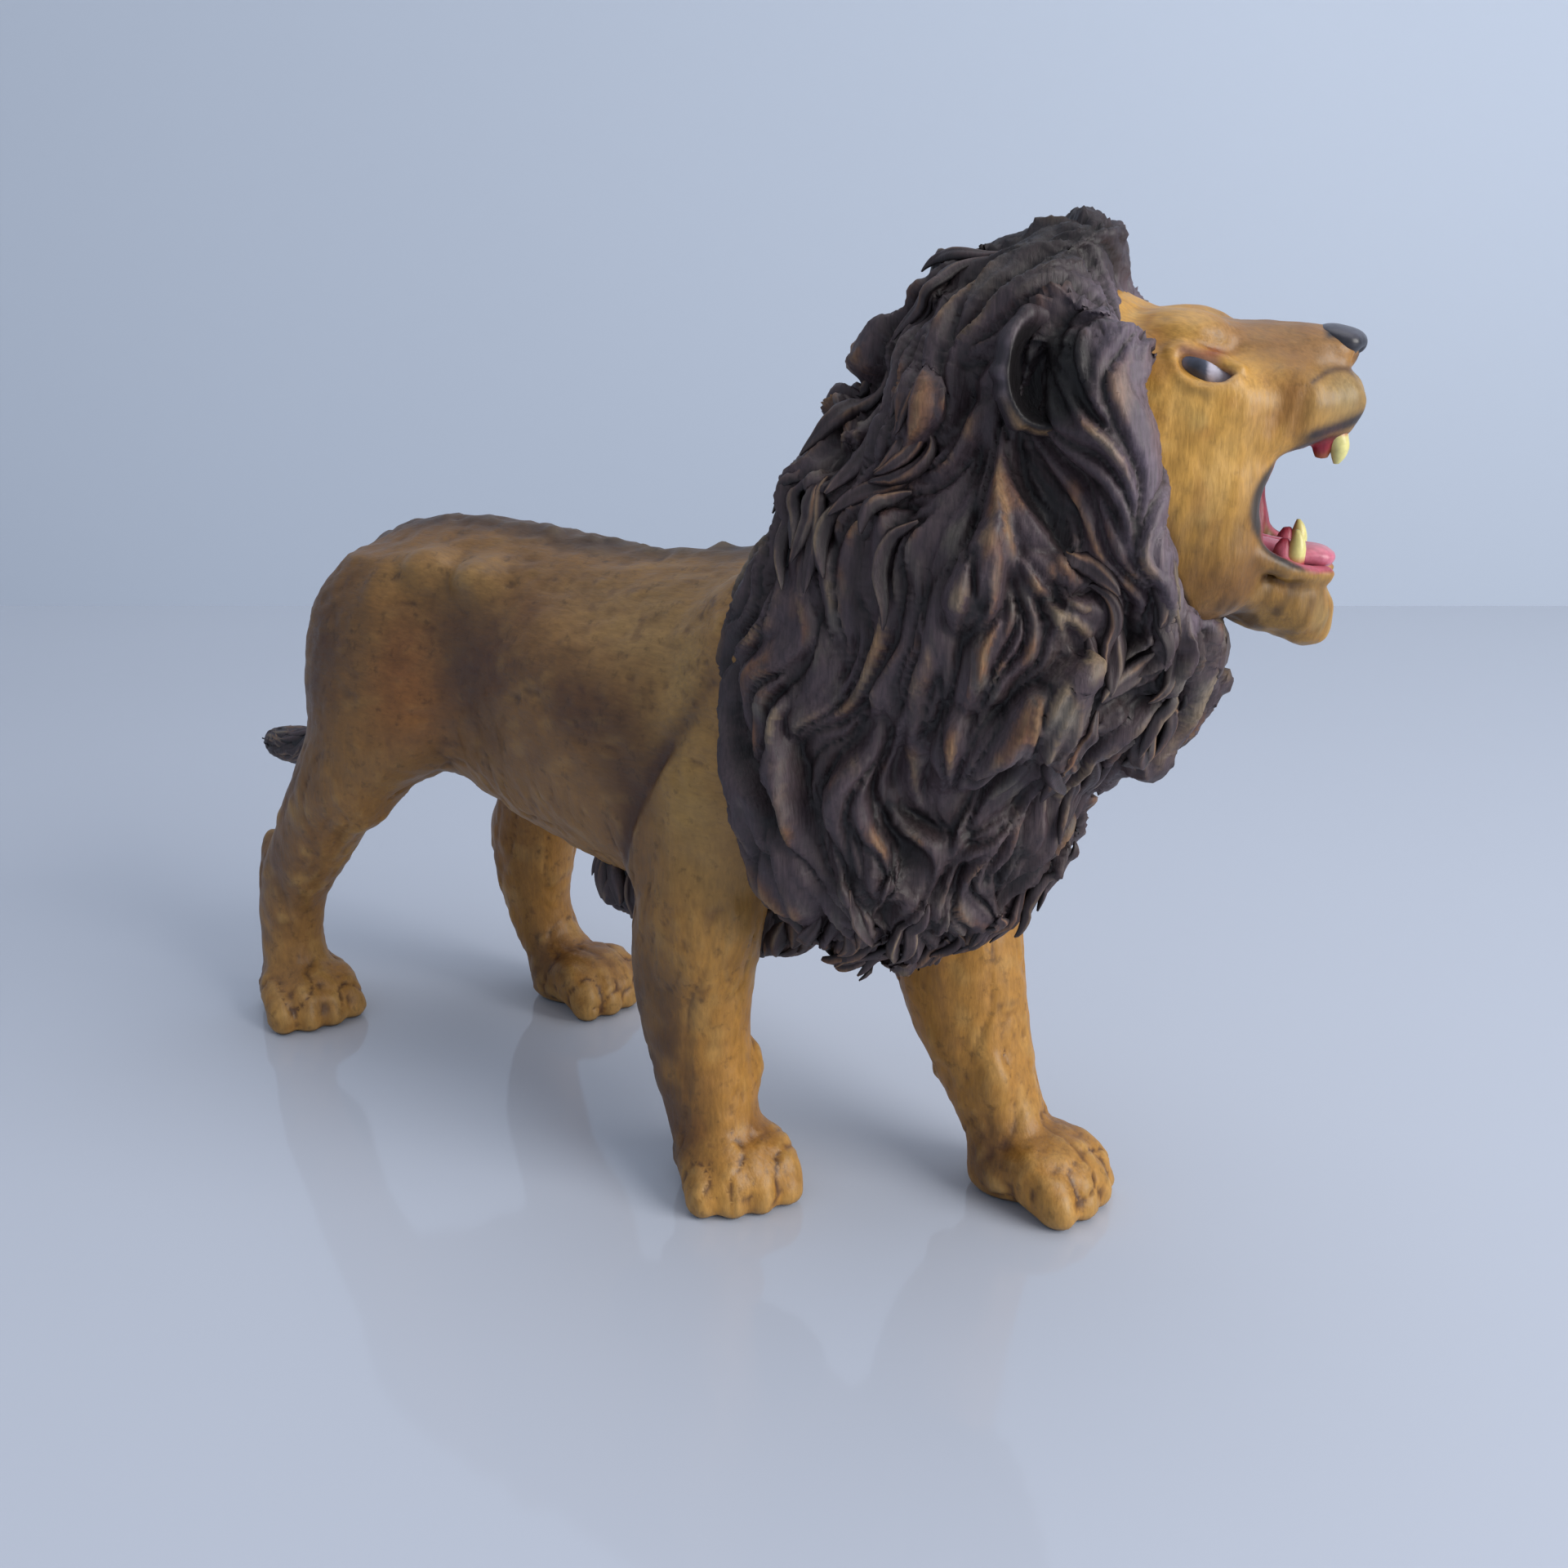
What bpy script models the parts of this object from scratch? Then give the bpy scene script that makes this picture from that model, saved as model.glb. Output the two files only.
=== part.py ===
"""Toy lion figure, standing and roaring: rigid vinyl mouldings seated in each other and bonded.

The frame has +X along the body towards the chest, +Y to the animal's left and +Z up.
Z is zero at the soles, and the origin lies under the middle of the figure's box.
Tables of shares are chosen by hand, and each is scaled by the named sizes that its rows follow.
"""

import math

import bmesh
import bpy
from mathutils import Matrix, Vector
from mathutils.bvhtree import BVHTree

MM = 0.001

# Overall sizes of the animal, and how far the middle of its box lies ahead of mid body
BODY_LENGTH = 100 * MM
BACK_HEIGHT = 60 * MM
MIDDLE_OFFSET = -1.4 * MM

# Bond gap between mouldings, and the grain to which rounded forms are worked
BOND_GAP = 0.3 * MM
BODY_GRAIN = 0.9 * MM
HEAD_GRAIN = 0.55 * MM
MANE_GRAIN = 0.6 * MM

# Trunk
TRUNK_WIDTH = 26 * MM
TRUNK_DEPTH = 34 * MM

# Legs: track is the distance between the middles of left and right paw
FORE_TRACK = 18 * MM
HIND_TRACK = 24 * MM
FORELEG_THICKNESS = 12 * MM
HINDLEG_THICKNESS = 12 * MM
PAW_LENGTH = 14 * MM
PAW_WIDTH = 12 * MM
PAW_HEIGHT = 7 * MM
SOLE_TRIM = 4 * MM

# Tail
TAIL_DROP = 26 * MM
TAIL_THICKNESS = 4.2 * MM
TUFT_LENGTH = 13 * MM
TUFT_THICKNESS = 6.4 * MM

# Mane
MANE_LENGTH = 34 * MM
MANE_WIDTH = 34 * MM
MANE_HEIGHT = 66 * MM
CROWN_RISE = 7.5 * MM
LOCK_LENGTH = 15 * MM
LOCK_THICKNESS = 3.6 * MM
LOCK_WAVE = 1.1 * MM
BELLY_MANE_LENGTH = 32 * MM
BELLY_MANE_WIDTH = 9 * MM
BELLY_MANE_DEPTH = 11 * MM
EAR_HEIGHT = 9 * MM
EAR_WIDTH = 6.6 * MM
EAR_WALL = 1.2 * MM

# Head, turned to the animal's left
HEAD_LENGTH = 25 * MM
HEAD_WIDTH = 20 * MM
HEAD_HEIGHT = 25 * MM
CHIN_HEIGHT = 59 * MM
HEAD_TURN = math.radians(22)
EYE_SIZE = 3.2 * MM
NOSE_SIZE = 3.6 * MM
FANG_LENGTH = 2.5 * MM
FANG_THICKNESS = 1.7 * MM
TONGUE_LENGTH = 9 * MM
TONGUE_WIDTH = 4.8 * MM
TONGUE_THICKNESS = 2.6 * MM
PALATE_THICKNESS = 2.4 * MM

RIGHT, LEFT = -1, 1
SIDE_NAMES = {RIGHT: "right", LEFT: "left"}
UP = Vector((0, 0, 1))
SIDEWAYS = Vector((0, 1, 0))
FORWARD = Vector((1, 0, 0))

# Trunk rows: forward, height of the middle line, half width, half depth
TRUNK_SHARES = (
    (-0.484, 0.743, 0.10, 0.12),
    (-0.464, 0.746, 0.18, 0.19),
    (-0.44, 0.752, 0.25, 0.245),
    (-0.414, 0.758, 0.305, 0.29),
    (-0.37, 0.768, 0.36, 0.338),
    (-0.31, 0.773, 0.40, 0.38),
    (-0.24, 0.77, 0.415, 0.414),
    (-0.16, 0.753, 0.43, 0.446),
    (-0.07, 0.733, 0.465, 0.467),
    (0.02, 0.719, 0.492, 0.482),
    (0.12, 0.725, 0.50, 0.495),
    (0.22, 0.76, 0.465, 0.483),
    (0.31, 0.84, 0.42, 0.44),
    (0.38, 0.96, 0.38, 0.36),
    (0.42, 1.08, 0.34, 0.30),
)
# How far the trunk's oval sections lean to a box: 1 is an oval
TRUNK_ROUNDNESS_SHARE = 0.88
# Muscles on each side of the trunk: haunch, two hips, flank, ribs and shoulder
MUSCLE_SHARES = (
    (-0.30, 0.27, 0.727, 0.112, 0.195, 0.34),
    (-0.214, 0.295, 0.93, 0.045, 0.11, 0.082),
    (-0.129, 0.31, 0.935, 0.037, 0.105, 0.07),
    (-0.024, 0.34, 0.75, 0.07, 0.135, 0.235),
    (0.076, 0.33, 0.683, 0.115, 0.185, 0.30),
    (0.256, 0.335, 0.867, 0.09, 0.178, 0.36),
)

# Leg rows: forward, outward in half tracks, height, half depth and half width in thicknesses
FORELEG_SHARES = {
    RIGHT: (
        (0.275, 1.14, 0.93, 0.46, 0.27),
        (0.262, 1.14, 0.83, 0.60, 0.34),
        (0.228, 1.12, 0.73, 0.59, 0.39),
        (0.192, 1.06, 0.63, 0.56, 0.42),
        (0.174, 1.03, 0.555, 0.53, 0.42),
        (0.172, 1.03, 0.465, 0.54, 0.425),
        (0.161, 1.03, 0.36, 0.515, 0.41),
        (0.162, 1.03, 0.265, 0.485, 0.39),
        (0.172, 1.03, 0.187, 0.44, 0.365),
        (0.185, 1.03, 0.12, 0.40, 0.35),
        (0.198, 1.03, 0.07, 0.40, 0.38),
    ),
    LEFT: (
        (0.27, 1.14, 0.93, 0.46, 0.27),
        (0.28, 1.13, 0.80, 0.63, 0.35),
        (0.30, 1.08, 0.65, 0.63, 0.42),
        (0.322, 1.03, 0.50, 0.60, 0.44),
        (0.341, 1.00, 0.36, 0.575, 0.45),
        (0.357, 1.00, 0.263, 0.52, 0.42),
        (0.382, 1.00, 0.175, 0.42, 0.35),
        (0.404, 1.00, 0.10, 0.385, 0.35),
        (0.425, 1.00, 0.065, 0.40, 0.38),
    ),
}
HINDLEG_SHARES = {
    RIGHT: (
        (-0.31, 0.66, 0.86, 0.72, 0.34),
        (-0.295, 0.74, 0.75, 0.95, 0.46),
        (-0.285, 0.86, 0.63, 0.86, 0.48),
        (-0.335, 0.95, 0.535, 0.62, 0.46),
        (-0.385, 1.00, 0.44, 0.48, 0.39),
        (-0.425, 1.00, 0.34, 0.42, 0.345),
        (-0.463, 1.00, 0.245, 0.36, 0.30),
        (-0.474, 1.00, 0.165, 0.335, 0.29),
        (-0.47, 1.00, 0.10, 0.34, 0.31),
        (-0.462, 1.00, 0.06, 0.36, 0.34),
    ),
    LEFT: (
        (-0.30, 0.66, 0.86, 0.72, 0.34),
        (-0.265, 0.74, 0.74, 0.92, 0.46),
        (-0.225, 0.88, 0.60, 0.74, 0.46),
        (-0.255, 0.96, 0.47, 0.57, 0.43),
        (-0.298, 1.00, 0.36, 0.47, 0.39),
        (-0.306, 1.00, 0.265, 0.46, 0.36),
        (-0.299, 1.00, 0.17, 0.36, 0.30),
        (-0.278, 1.00, 0.107, 0.345, 0.31),
        (-0.25, 1.00, 0.065, 0.37, 0.35),
    ),
}
# Paws: forward, outward in half tracks, and how far each is turned outward
FORE_PAW_PLACES_SHARES = {RIGHT: (0.20, 0.94), LEFT: (0.438, 1.00)}
HIND_PAW_PLACES_SHARES = {RIGHT: (-0.461, 1.00), LEFT: (-0.226, 1.00)}
FORE_PAW_TURNS = {RIGHT: math.radians(-34), LEFT: math.radians(4)}
HIND_PAW_TURNS = {RIGHT: math.radians(-16), LEFT: math.radians(2)}
# Forms of a paw: forward, outward, height, and three half sizes
PAW_SHARES = (
    (-0.10, 0.0, 0.42, 0.38, 0.40, 0.52),
    (0.10, 0.0, 0.50, 0.30, 0.34, 0.44),
    (0.27, 0.35, 0.32, 0.19, 0.145, 0.36),
    (0.34, 0.125, 0.36, 0.21, 0.15, 0.40),
    (0.34, -0.125, 0.36, 0.21, 0.15, 0.40),
    (0.27, -0.35, 0.32, 0.19, 0.145, 0.36),
)
DEWCLAW_SHARES = (0.205, 0.66, 0.20)
DEWCLAW_SIZE_SHARES = (0.15, 0.14, 0.24)

# Tail rows: forward, sideways and drop below the root in drops, half thickness
TAIL_SHARES = (
    (-0.45, 0.0, -0.02, 0.46),
    (-0.50, 0.01, 0.04, 0.46),
    (-0.54, 0.02, 0.24, 0.42),
    (-0.572, 0.03, 0.54, 0.38),
    (-0.602, 0.035, 0.84, 0.36),
)
TAIL_ROOT_SHARE = 0.83
TUFT_SHARES = (
    (-0.03, 0.10, 0.34),
    (0.30, -0.06, 0.50),
    (0.62, -0.16, 0.44),
    (0.92, -0.20, 0.22),
)

# Masses of the mane: forward, sideways, height, and three half sizes
MANE_SHARES = (
    (0.48, 0.05, 0.788, 0.345, 0.34, 0.207),
    (0.418, 0.0, 0.72, 0.305, 0.335, 0.197),
    (0.436, 0.0, 0.54, 0.44, 0.445, 0.272),
    (0.342, -0.19, 0.427, 0.28, 0.272, 0.35),
    (0.342, 0.19, 0.427, 0.28, 0.272, 0.35),
    (0.336, -0.21, 0.274, 0.275, 0.248, 0.237),
    (0.345, 0.21, 0.274, 0.267, 0.248, 0.234),
    (0.442, 0.0, 0.446, 0.47, 0.415, 0.15),
    (0.372, -0.03, 0.195, 0.325, 0.30, 0.16),
    (0.446, -0.02, 0.242, 0.19, 0.265, 0.10),
    (0.292, 0.0, 0.545, 0.27, 0.25, 0.108),
)
# The collar beside the face and under the chin, on each side, in the head's shares
COLLAR_SHARES = (
    (0.18, 0.41, 0.82, 0.17, 0.17, 0.24),
    (0.22, 0.44, 0.54, 0.18, 0.17, 0.30),
    (0.32, 0.42, 0.26, 0.19, 0.18, 0.28),
    (0.36, 0.25, 0.0, 0.22, 0.25, 0.18),
)
MANE_LOCK_COUNT = 130
MANE_MIDDLE_SHARES = (0.40, 0.98)
# The locks flare away from the face and sweep back beside it; farther off, they hang
FACE_MIDDLE_SHARES = (0.2, 0.0, 0.5)
HAIR_FLARE, HAIR_SWEEP, HAIR_FALL = 0.5, 0.7, 1.25
# Half thickness of a lock from root to tip, and how far its middle line stands off the skin
LOCK_TAPER_SHARES = (0.30, 0.52, 0.62, 0.66, 0.60, 0.42, 0.16)
LOCK_LIFT_SHARES = (0.0, 0.09, 0.16, 0.21, 0.24, 0.24, 0.22)
LOCK_FLATNESS_SHARE = 0.7
# Face opening of the mane, in the head's shares: forward and height of its upper and lower edge
FACE_EDGE_SHARES = ((0.22, 1.02), (0.55, 0.05))
FACE_ROOM_REACH_SHARE = 2
BELLY_MANE_SHARES = (
    (0.01, 0.41, 0.20, 0.50, 0.52),
    (0.09, 0.40, 0.25, 0.50, 0.48),
    (0.18, 0.425, 0.25, 0.52, 0.46),
)

# Masses of the upper head: forward, sideways, height, and three half sizes
HEAD_SHARES = (
    (0.10, 0.0, 0.63, 0.38, 0.47, 0.38),
    (0.32, 0.0, 0.38, 0.32, 0.42, 0.36),
    (0.46, 0.29, 0.69, 0.20, 0.15, 0.16),
    (0.46, -0.29, 0.69, 0.20, 0.15, 0.16),
    (0.52, 0.27, 0.42, 0.20, 0.16, 0.30),
    (0.52, -0.27, 0.42, 0.20, 0.16, 0.30),
    (0.60, 0.0, 0.68, 0.30, 0.26, 0.13),
    (0.82, 0.135, 0.715, 0.15, 0.145, 0.11),
    (0.82, -0.135, 0.715, 0.15, 0.145, 0.11),
)
# Bridge of the nose: forward, height, half width, half depth
BRIDGE_SHARES = (
    (0.18, 0.77, 0.38, 0.19),
    (0.40, 0.81, 0.32, 0.165),
    (0.56, 0.81, 0.25, 0.135),
    (0.72, 0.80, 0.20, 0.125),
    (0.86, 0.81, 0.16, 0.11),
    (0.91, 0.81, 0.12, 0.08),
)
# Upper lip from the corner of the mouth: forward, outward, height, thickness
LIP_SHARES = (
    (0.60, 0.31, 0.63, 0.10),
    (0.76, 0.24, 0.65, 0.09),
    (0.88, 0.12, 0.66, 0.075),
)
JAW_SHARES = (
    (0.36, 0.20, 0.32, 0.15),
    (0.56, 0.18, 0.29, 0.115),
    (0.74, 0.145, 0.24, 0.095),
    (0.87, 0.12, 0.18, 0.09),
)
CHIN_SHARES = (
    (0.84, 0.0, 0.08, 0.085, 0.16, 0.11),
    (0.52, 0.25, 0.22, 0.18, 0.15, 0.17),
    (0.52, -0.25, 0.22, 0.18, 0.15, 0.17),
)
JAW_LIP_SHARES = (
    (0.70, 0.24, 0.215, 0.05),
    (0.82, 0.18, 0.22, 0.045),
    (0.885, 0.08, 0.22, 0.042),
)

EYE_PLACE_SHARES = (0.485, 0.33, 0.785)
EYE_FORM_SHARES = (0.5, 0.33, 0.33)
NOSE_PLACE_SHARES = (0.885, 0.0, 0.89)
NOSE_FORM_SHARES = (0.46, 0.62, 0.34)
EAR_PLACE_SHARES = (0.10, 0.53, 0.81)
EAR_BOWL_SHARES = (0.40, 0.16, 0.03)
UPPER_FANG_SHARES = (0.865, 0.155, 0.62)
LOWER_FANG_SHARES = (0.815, 0.15, 0.22)
# Fang rows, from its root to its tip: run, half thickness, lean towards the lips
FANG_SHARES = (
    (-0.30, 0.45, 0.0),
    (0.10, 0.50, 0.0),
    (0.45, 0.40, 0.10),
    (0.80, 0.225, 0.0),
    (1.0, 0.09, -0.12),
)
PALATE_PLACE_SHARES = (0.73, 0.0, 0.605)
TONGUE_PLACE_SHARES = (0.76, 0.0, 0.215)

TRUNK_SIDE_COUNT = 28
LEG_SIDE_COUNT = 14
TAIL_SIDE_COUNT = 12
FANG_SIDE_COUNT = 10
LOCK_SIDE_COUNT = 6
BALL_SEGMENT_COUNT = 20
BALL_RING_COUNT = 12
SMALL_SEGMENT_COUNT = 12
SMALL_RING_COUNT = 7
GOLDEN_ANGLE = math.pi * (3 - math.sqrt(5))


def body_point(forward_share, sideways, height_share):
    """A place on the body, with sideways given as a length."""
    forward = forward_share * BODY_LENGTH - MIDDLE_OFFSET
    return Vector((forward, sideways, height_share * BACK_HEIGHT))


def head_frame():
    """The head's own frame: it stands at the nape, level with the chin, and faces along the muzzle."""
    return Matrix.Translation(body_point(0.46, 0, 0) + UP * CHIN_HEIGHT) @ Matrix.Rotation(HEAD_TURN, 4, "Z")


def head_point(forward_share, sideways_share, height_share):
    """A place on the head, in shares of its length, width and height."""
    own = Vector((forward_share * HEAD_LENGTH, sideways_share * HEAD_WIDTH, height_share * HEAD_HEIGHT))
    return head_frame() @ own


def add_ball(forms, middle, half_sizes, turn=None, small=False):
    """Add an ellipsoid to the forms."""
    turned = turn if turn is not None else Matrix.Identity(4)
    shape = Matrix.Translation(middle) @ turned @ Matrix.Diagonal((*half_sizes, 1))
    segments = SMALL_SEGMENT_COUNT if small else BALL_SEGMENT_COUNT
    rings = SMALL_RING_COUNT if small else BALL_RING_COUNT
    bmesh.ops.create_uvsphere(forms, u_segments=segments, v_segments=rings, radius=1, matrix=shape)


def add_limb(forms, stations, side_count, roundness=1):
    """Add a tapered limb through stations, each a middle, a half width and a half depth."""
    middles = [station[0] for station in stations]
    rings = []
    for index, (middle, half_width, half_depth) in enumerate(stations):
        before = middles[max(index - 1, 0)]
        after = middles[min(index + 1, len(middles) - 1)]
        along = (after - before).normalized()
        reference = SIDEWAYS if abs(along.y) < 0.8 else UP
        side = (reference - along * reference.dot(along)).normalized()
        depth = along.cross(side)
        ring = []
        for step in range(side_count):
            angle = 2 * math.pi * step / side_count
            across = math.copysign(abs(math.cos(angle)) ** roundness, math.cos(angle))
            over = math.copysign(abs(math.sin(angle)) ** roundness, math.sin(angle))
            ring.append(forms.verts.new(middle + side * (half_width * across) + depth * (half_depth * over)))
        rings.append(ring)
    for lower, upper in zip(rings, rings[1:]):
        for step in range(side_count):
            following = (step + 1) % side_count
            forms.faces.new((lower[step], lower[following], upper[following], upper[step]))
    forms.faces.new(list(reversed(rings[0])))
    forms.faces.new(rings[-1])


def material(name, colour, roughness):
    """A painted or bare vinyl finish."""
    finish = bpy.data.materials.new(name)
    finish.use_nodes = True
    shader = finish.node_tree.nodes["Principled BSDF"]
    shader.inputs["Base Color"].default_value = (*colour, 1)
    shader.inputs["Roughness"].default_value = roughness
    shader.inputs["Metallic"].default_value = 0
    return finish


def settle(shape):
    """Make a shape's modifiers part of its mesh."""
    bpy.context.view_layer.update()
    graph = bpy.context.evaluated_depsgraph_get()
    finished = bpy.data.meshes.new_from_object(shape.evaluated_get(graph))
    shape.modifiers.clear()
    shape.data = finished


def solid(name, forms, finish, grain=None, easing=0, kept_share=1.0):
    """One node: its forms are fused at the grain, eased into each other and thinned."""
    bmesh.ops.recalc_face_normals(forms, faces=forms.faces)
    mesh = bpy.data.meshes.new(name)
    forms.to_mesh(mesh)
    forms.free()
    shape = bpy.data.objects.new(name, mesh)
    bpy.context.collection.objects.link(shape)
    if grain is not None:
        fuse = shape.modifiers.new("fuse", "REMESH")
        fuse.mode = "VOXEL"
        fuse.voxel_size = grain
        ease = shape.modifiers.new("ease", "SMOOTH")
        ease.factor = 0.5
        ease.iterations = easing
        thin = shape.modifiers.new("thin", "DECIMATE")
        thin.ratio = kept_share
        settle(shape)
    shape.data.materials.clear()
    shape.data.materials.append(finish)
    return shape


def as_tool(shape):
    """Mark a shape as one that only cuts others."""
    shape.hide_render = True
    shape.display_type = "WIRE"
    return shape


def seat_tool(shape):
    """A copy of a shape, grown by the bond gap, that cuts its seat in a neighbour."""
    tool = bpy.data.objects.new(shape.name + "_seat", shape.data.copy())
    bpy.context.collection.objects.link(tool)
    swell = tool.modifiers.new("bond_gap", "DISPLACE")
    swell.mid_level = 0
    swell.strength = BOND_GAP
    return as_tool(tool)


def keep_largest(shape):
    """Drop the loose chips that a cut leaves, and keep the largest body."""
    forms = bmesh.new()
    forms.from_mesh(shape.data)
    unseen = set(forms.faces)
    bodies = []
    while unseen:
        body = []
        waiting = [unseen.pop()]
        while waiting:
            face = waiting.pop()
            body.append(face)
            for edge in face.edges:
                if len(edge.link_faces) != 2:
                    continue
                for neighbour in edge.link_faces:
                    if neighbour in unseen:
                        unseen.remove(neighbour)
                        waiting.append(neighbour)
        bodies.append(body)
    largest = max(bodies, key=len)
    chips = [face for body in bodies if body is not largest for face in body]
    bmesh.ops.delete(forms, geom=chips, context="FACES")
    bmesh.ops.triangulate(forms, faces=forms.faces)
    forms.to_mesh(shape.data)
    forms.free()


def cut(shape, *tools):
    """Cut the tools' room out of a shape."""
    for tool in tools:
        carve = shape.modifiers.new("seat", "BOOLEAN")
        carve.operation = "DIFFERENCE"
        carve.solver = "EXACT"
        carve.object = tool
        carve.use_self = True
    settle(shape)
    keep_largest(shape)


def shade(shape):
    """Shade a rounded piece smooth."""
    shape.data.shade_smooth()
    shape.data.set_sharp_from_angle(angle=math.radians(50))


def floor_room(guide):
    """The room below the soles."""
    forms = bmesh.new()
    reach = 2 * BODY_LENGTH
    shape = Matrix.Translation(-UP * SOLE_TRIM / 2) @ Matrix.Diagonal((reach, reach, SOLE_TRIM, 1))
    bmesh.ops.create_cube(forms, size=1, matrix=shape)
    return as_tool(solid("floor_room", forms, guide))


def trunk(finish):
    """Rump, belly, chest and the neck that the head is seated on."""
    forms = bmesh.new()
    stations = []
    for forward, height, half_width, half_depth in TRUNK_SHARES:
        middle = body_point(forward, 0, height)
        stations.append((middle, half_width * TRUNK_WIDTH, half_depth * TRUNK_DEPTH))
    add_limb(forms, stations, TRUNK_SIDE_COUNT, TRUNK_ROUNDNESS_SHARE)
    for forward, sideways, height, half_length, half_width, half_depth in MUSCLE_SHARES:
        half_sizes = (half_length * BODY_LENGTH, half_width * TRUNK_WIDTH, half_depth * TRUNK_DEPTH)
        for side in (RIGHT, LEFT):
            add_ball(forms, body_point(forward, side * sideways * TRUNK_WIDTH, height), half_sizes)
    return solid("torso", forms, finish, BODY_GRAIN, easing=8, kept_share=0.035)


def add_paw(forms, middle, turn):
    """A paw: the pad, the instep and four toes."""
    turned = Matrix.Rotation(turn, 4, "Z")
    for forward, outward, height, half_length, half_width, half_height in PAW_SHARES:
        own = Vector((forward * PAW_LENGTH, outward * PAW_WIDTH, height * PAW_HEIGHT))
        half_sizes = (half_length * PAW_LENGTH, half_width * PAW_WIDTH, half_height * PAW_HEIGHT)
        add_ball(forms, middle + turned @ own, half_sizes, turned)


def leg(name, side, rows, thickness, track, paw_place, paw_turn, finish, dewclaw):
    """A leg, from the mass that is seated in the trunk down to the paw."""
    forms = bmesh.new()
    stations = []
    for forward, outward, height, half_depth, half_width in rows:
        middle = body_point(forward, side * outward * track / 2, height)
        stations.append((middle, half_width * thickness, half_depth * thickness))
    add_limb(forms, stations, LEG_SIDE_COUNT)
    top, half_width, half_depth = stations[0]
    add_ball(forms, top, (half_depth, half_width, half_width))
    paw_middle = body_point(paw_place[0], side * paw_place[1] * track / 2, 0)
    add_paw(forms, paw_middle, paw_turn)
    if dewclaw:
        forward, outward, height = DEWCLAW_SHARES
        half_sizes = [share * thickness for share in DEWCLAW_SIZE_SHARES]
        add_ball(forms, body_point(forward, side * outward * track / 2, height), half_sizes)
    return solid(name, forms, finish, HEAD_GRAIN, easing=6, kept_share=0.027)


def tail_point(forward, sideways, drop):
    """A place on the tail."""
    return body_point(forward, sideways * BODY_LENGTH, TAIL_ROOT_SHARE) - UP * (drop * TAIL_DROP)


def tail(finish):
    """The tail, from its root in the rump to the start of its tuft."""
    forms = bmesh.new()
    stations = []
    for forward, sideways, drop, half_thickness in TAIL_SHARES:
        half = half_thickness * TAIL_THICKNESS
        stations.append((tail_point(forward, sideways, drop), half, half))
    add_limb(forms, stations, TAIL_SIDE_COUNT)
    return solid("tail", forms, finish)


def tail_tuft(finish):
    """The tuft that the tail ends in: it points to the rear."""
    forms = bmesh.new()
    forward, sideways, drop, _ = TAIL_SHARES[-1]
    root = tail_point(forward, sideways, drop)
    stations = []
    for rearward, rise, half_thickness in TUFT_SHARES:
        middle = root - FORWARD * (rearward * TUFT_LENGTH) + UP * (rise * TUFT_LENGTH)
        half = half_thickness * TUFT_THICKNESS
        stations.append((middle, half, half))
    add_limb(forms, stations, TAIL_SIDE_COUNT)
    return solid("tail_tuft", forms, finish)


def mane_core():
    """The mane's masses, before its locks: they hang from a crown above the skull."""
    forms = bmesh.new()
    crown = CHIN_HEIGHT + HEAD_HEIGHT + CROWN_RISE
    for forward, sideways, height, half_length, half_width, half_height in MANE_SHARES:
        middle = body_point(forward, sideways * MANE_WIDTH, 0)
        middle += UP * (crown - (1 - height) * MANE_HEIGHT)
        half_sizes = (half_length * MANE_LENGTH, half_width * MANE_WIDTH, half_height * MANE_HEIGHT)
        add_ball(forms, middle, half_sizes)
    add_head_balls(forms, COLLAR_SHARES)
    add_head_balls(forms, [(row[0], -row[1], *row[2:]) for row in COLLAR_SHARES])
    return forms


def hair_direction(place):
    """The way the hair falls at a place: back and away from the face, then down."""
    muzzle = head_frame().to_3x3() @ FORWARD
    from_face = place - head_point(*FACE_MIDDLE_SHARES)
    outward = from_face - muzzle * from_face.dot(muzzle)
    beyond_face = max(outward.length - HEAD_WIDTH / 2, 0) / HEAD_WIDTH
    near_face = math.exp(-2 * beyond_face)
    swept = outward.normalized() * HAIR_FLARE - muzzle * HAIR_SWEEP
    return swept * near_face - UP * (HAIR_FALL - near_face)


def add_lock(forms, skin, place, number):
    """Add one wavy lock that follows the skin of the mane and lifts off at its tip."""
    stations = []
    last_step = len(LOCK_TAPER_SHARES) - 1
    own_length = LOCK_LENGTH * (0.85 + 0.3 * math.sin(1.7 * number))
    for step, (taper, lift) in enumerate(zip(LOCK_TAPER_SHARES, LOCK_LIFT_SHARES)):
        near, normal, _, _ = skin.find_nearest(place)
        direction = hair_direction(near)
        direction = (direction - normal * direction.dot(normal)).normalized()
        sideways = direction.cross(normal)
        wave = LOCK_WAVE * math.sin(5 * step / last_step + 2.3 * number)
        half = taper * LOCK_THICKNESS
        middle = near + sideways * wave + normal * (lift * LOCK_THICKNESS)
        stations.append((middle, half, LOCK_FLATNESS_SHARE * half))
        place = near + direction * own_length / last_step
    add_limb(forms, stations, LOCK_SIDE_COUNT)


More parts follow.
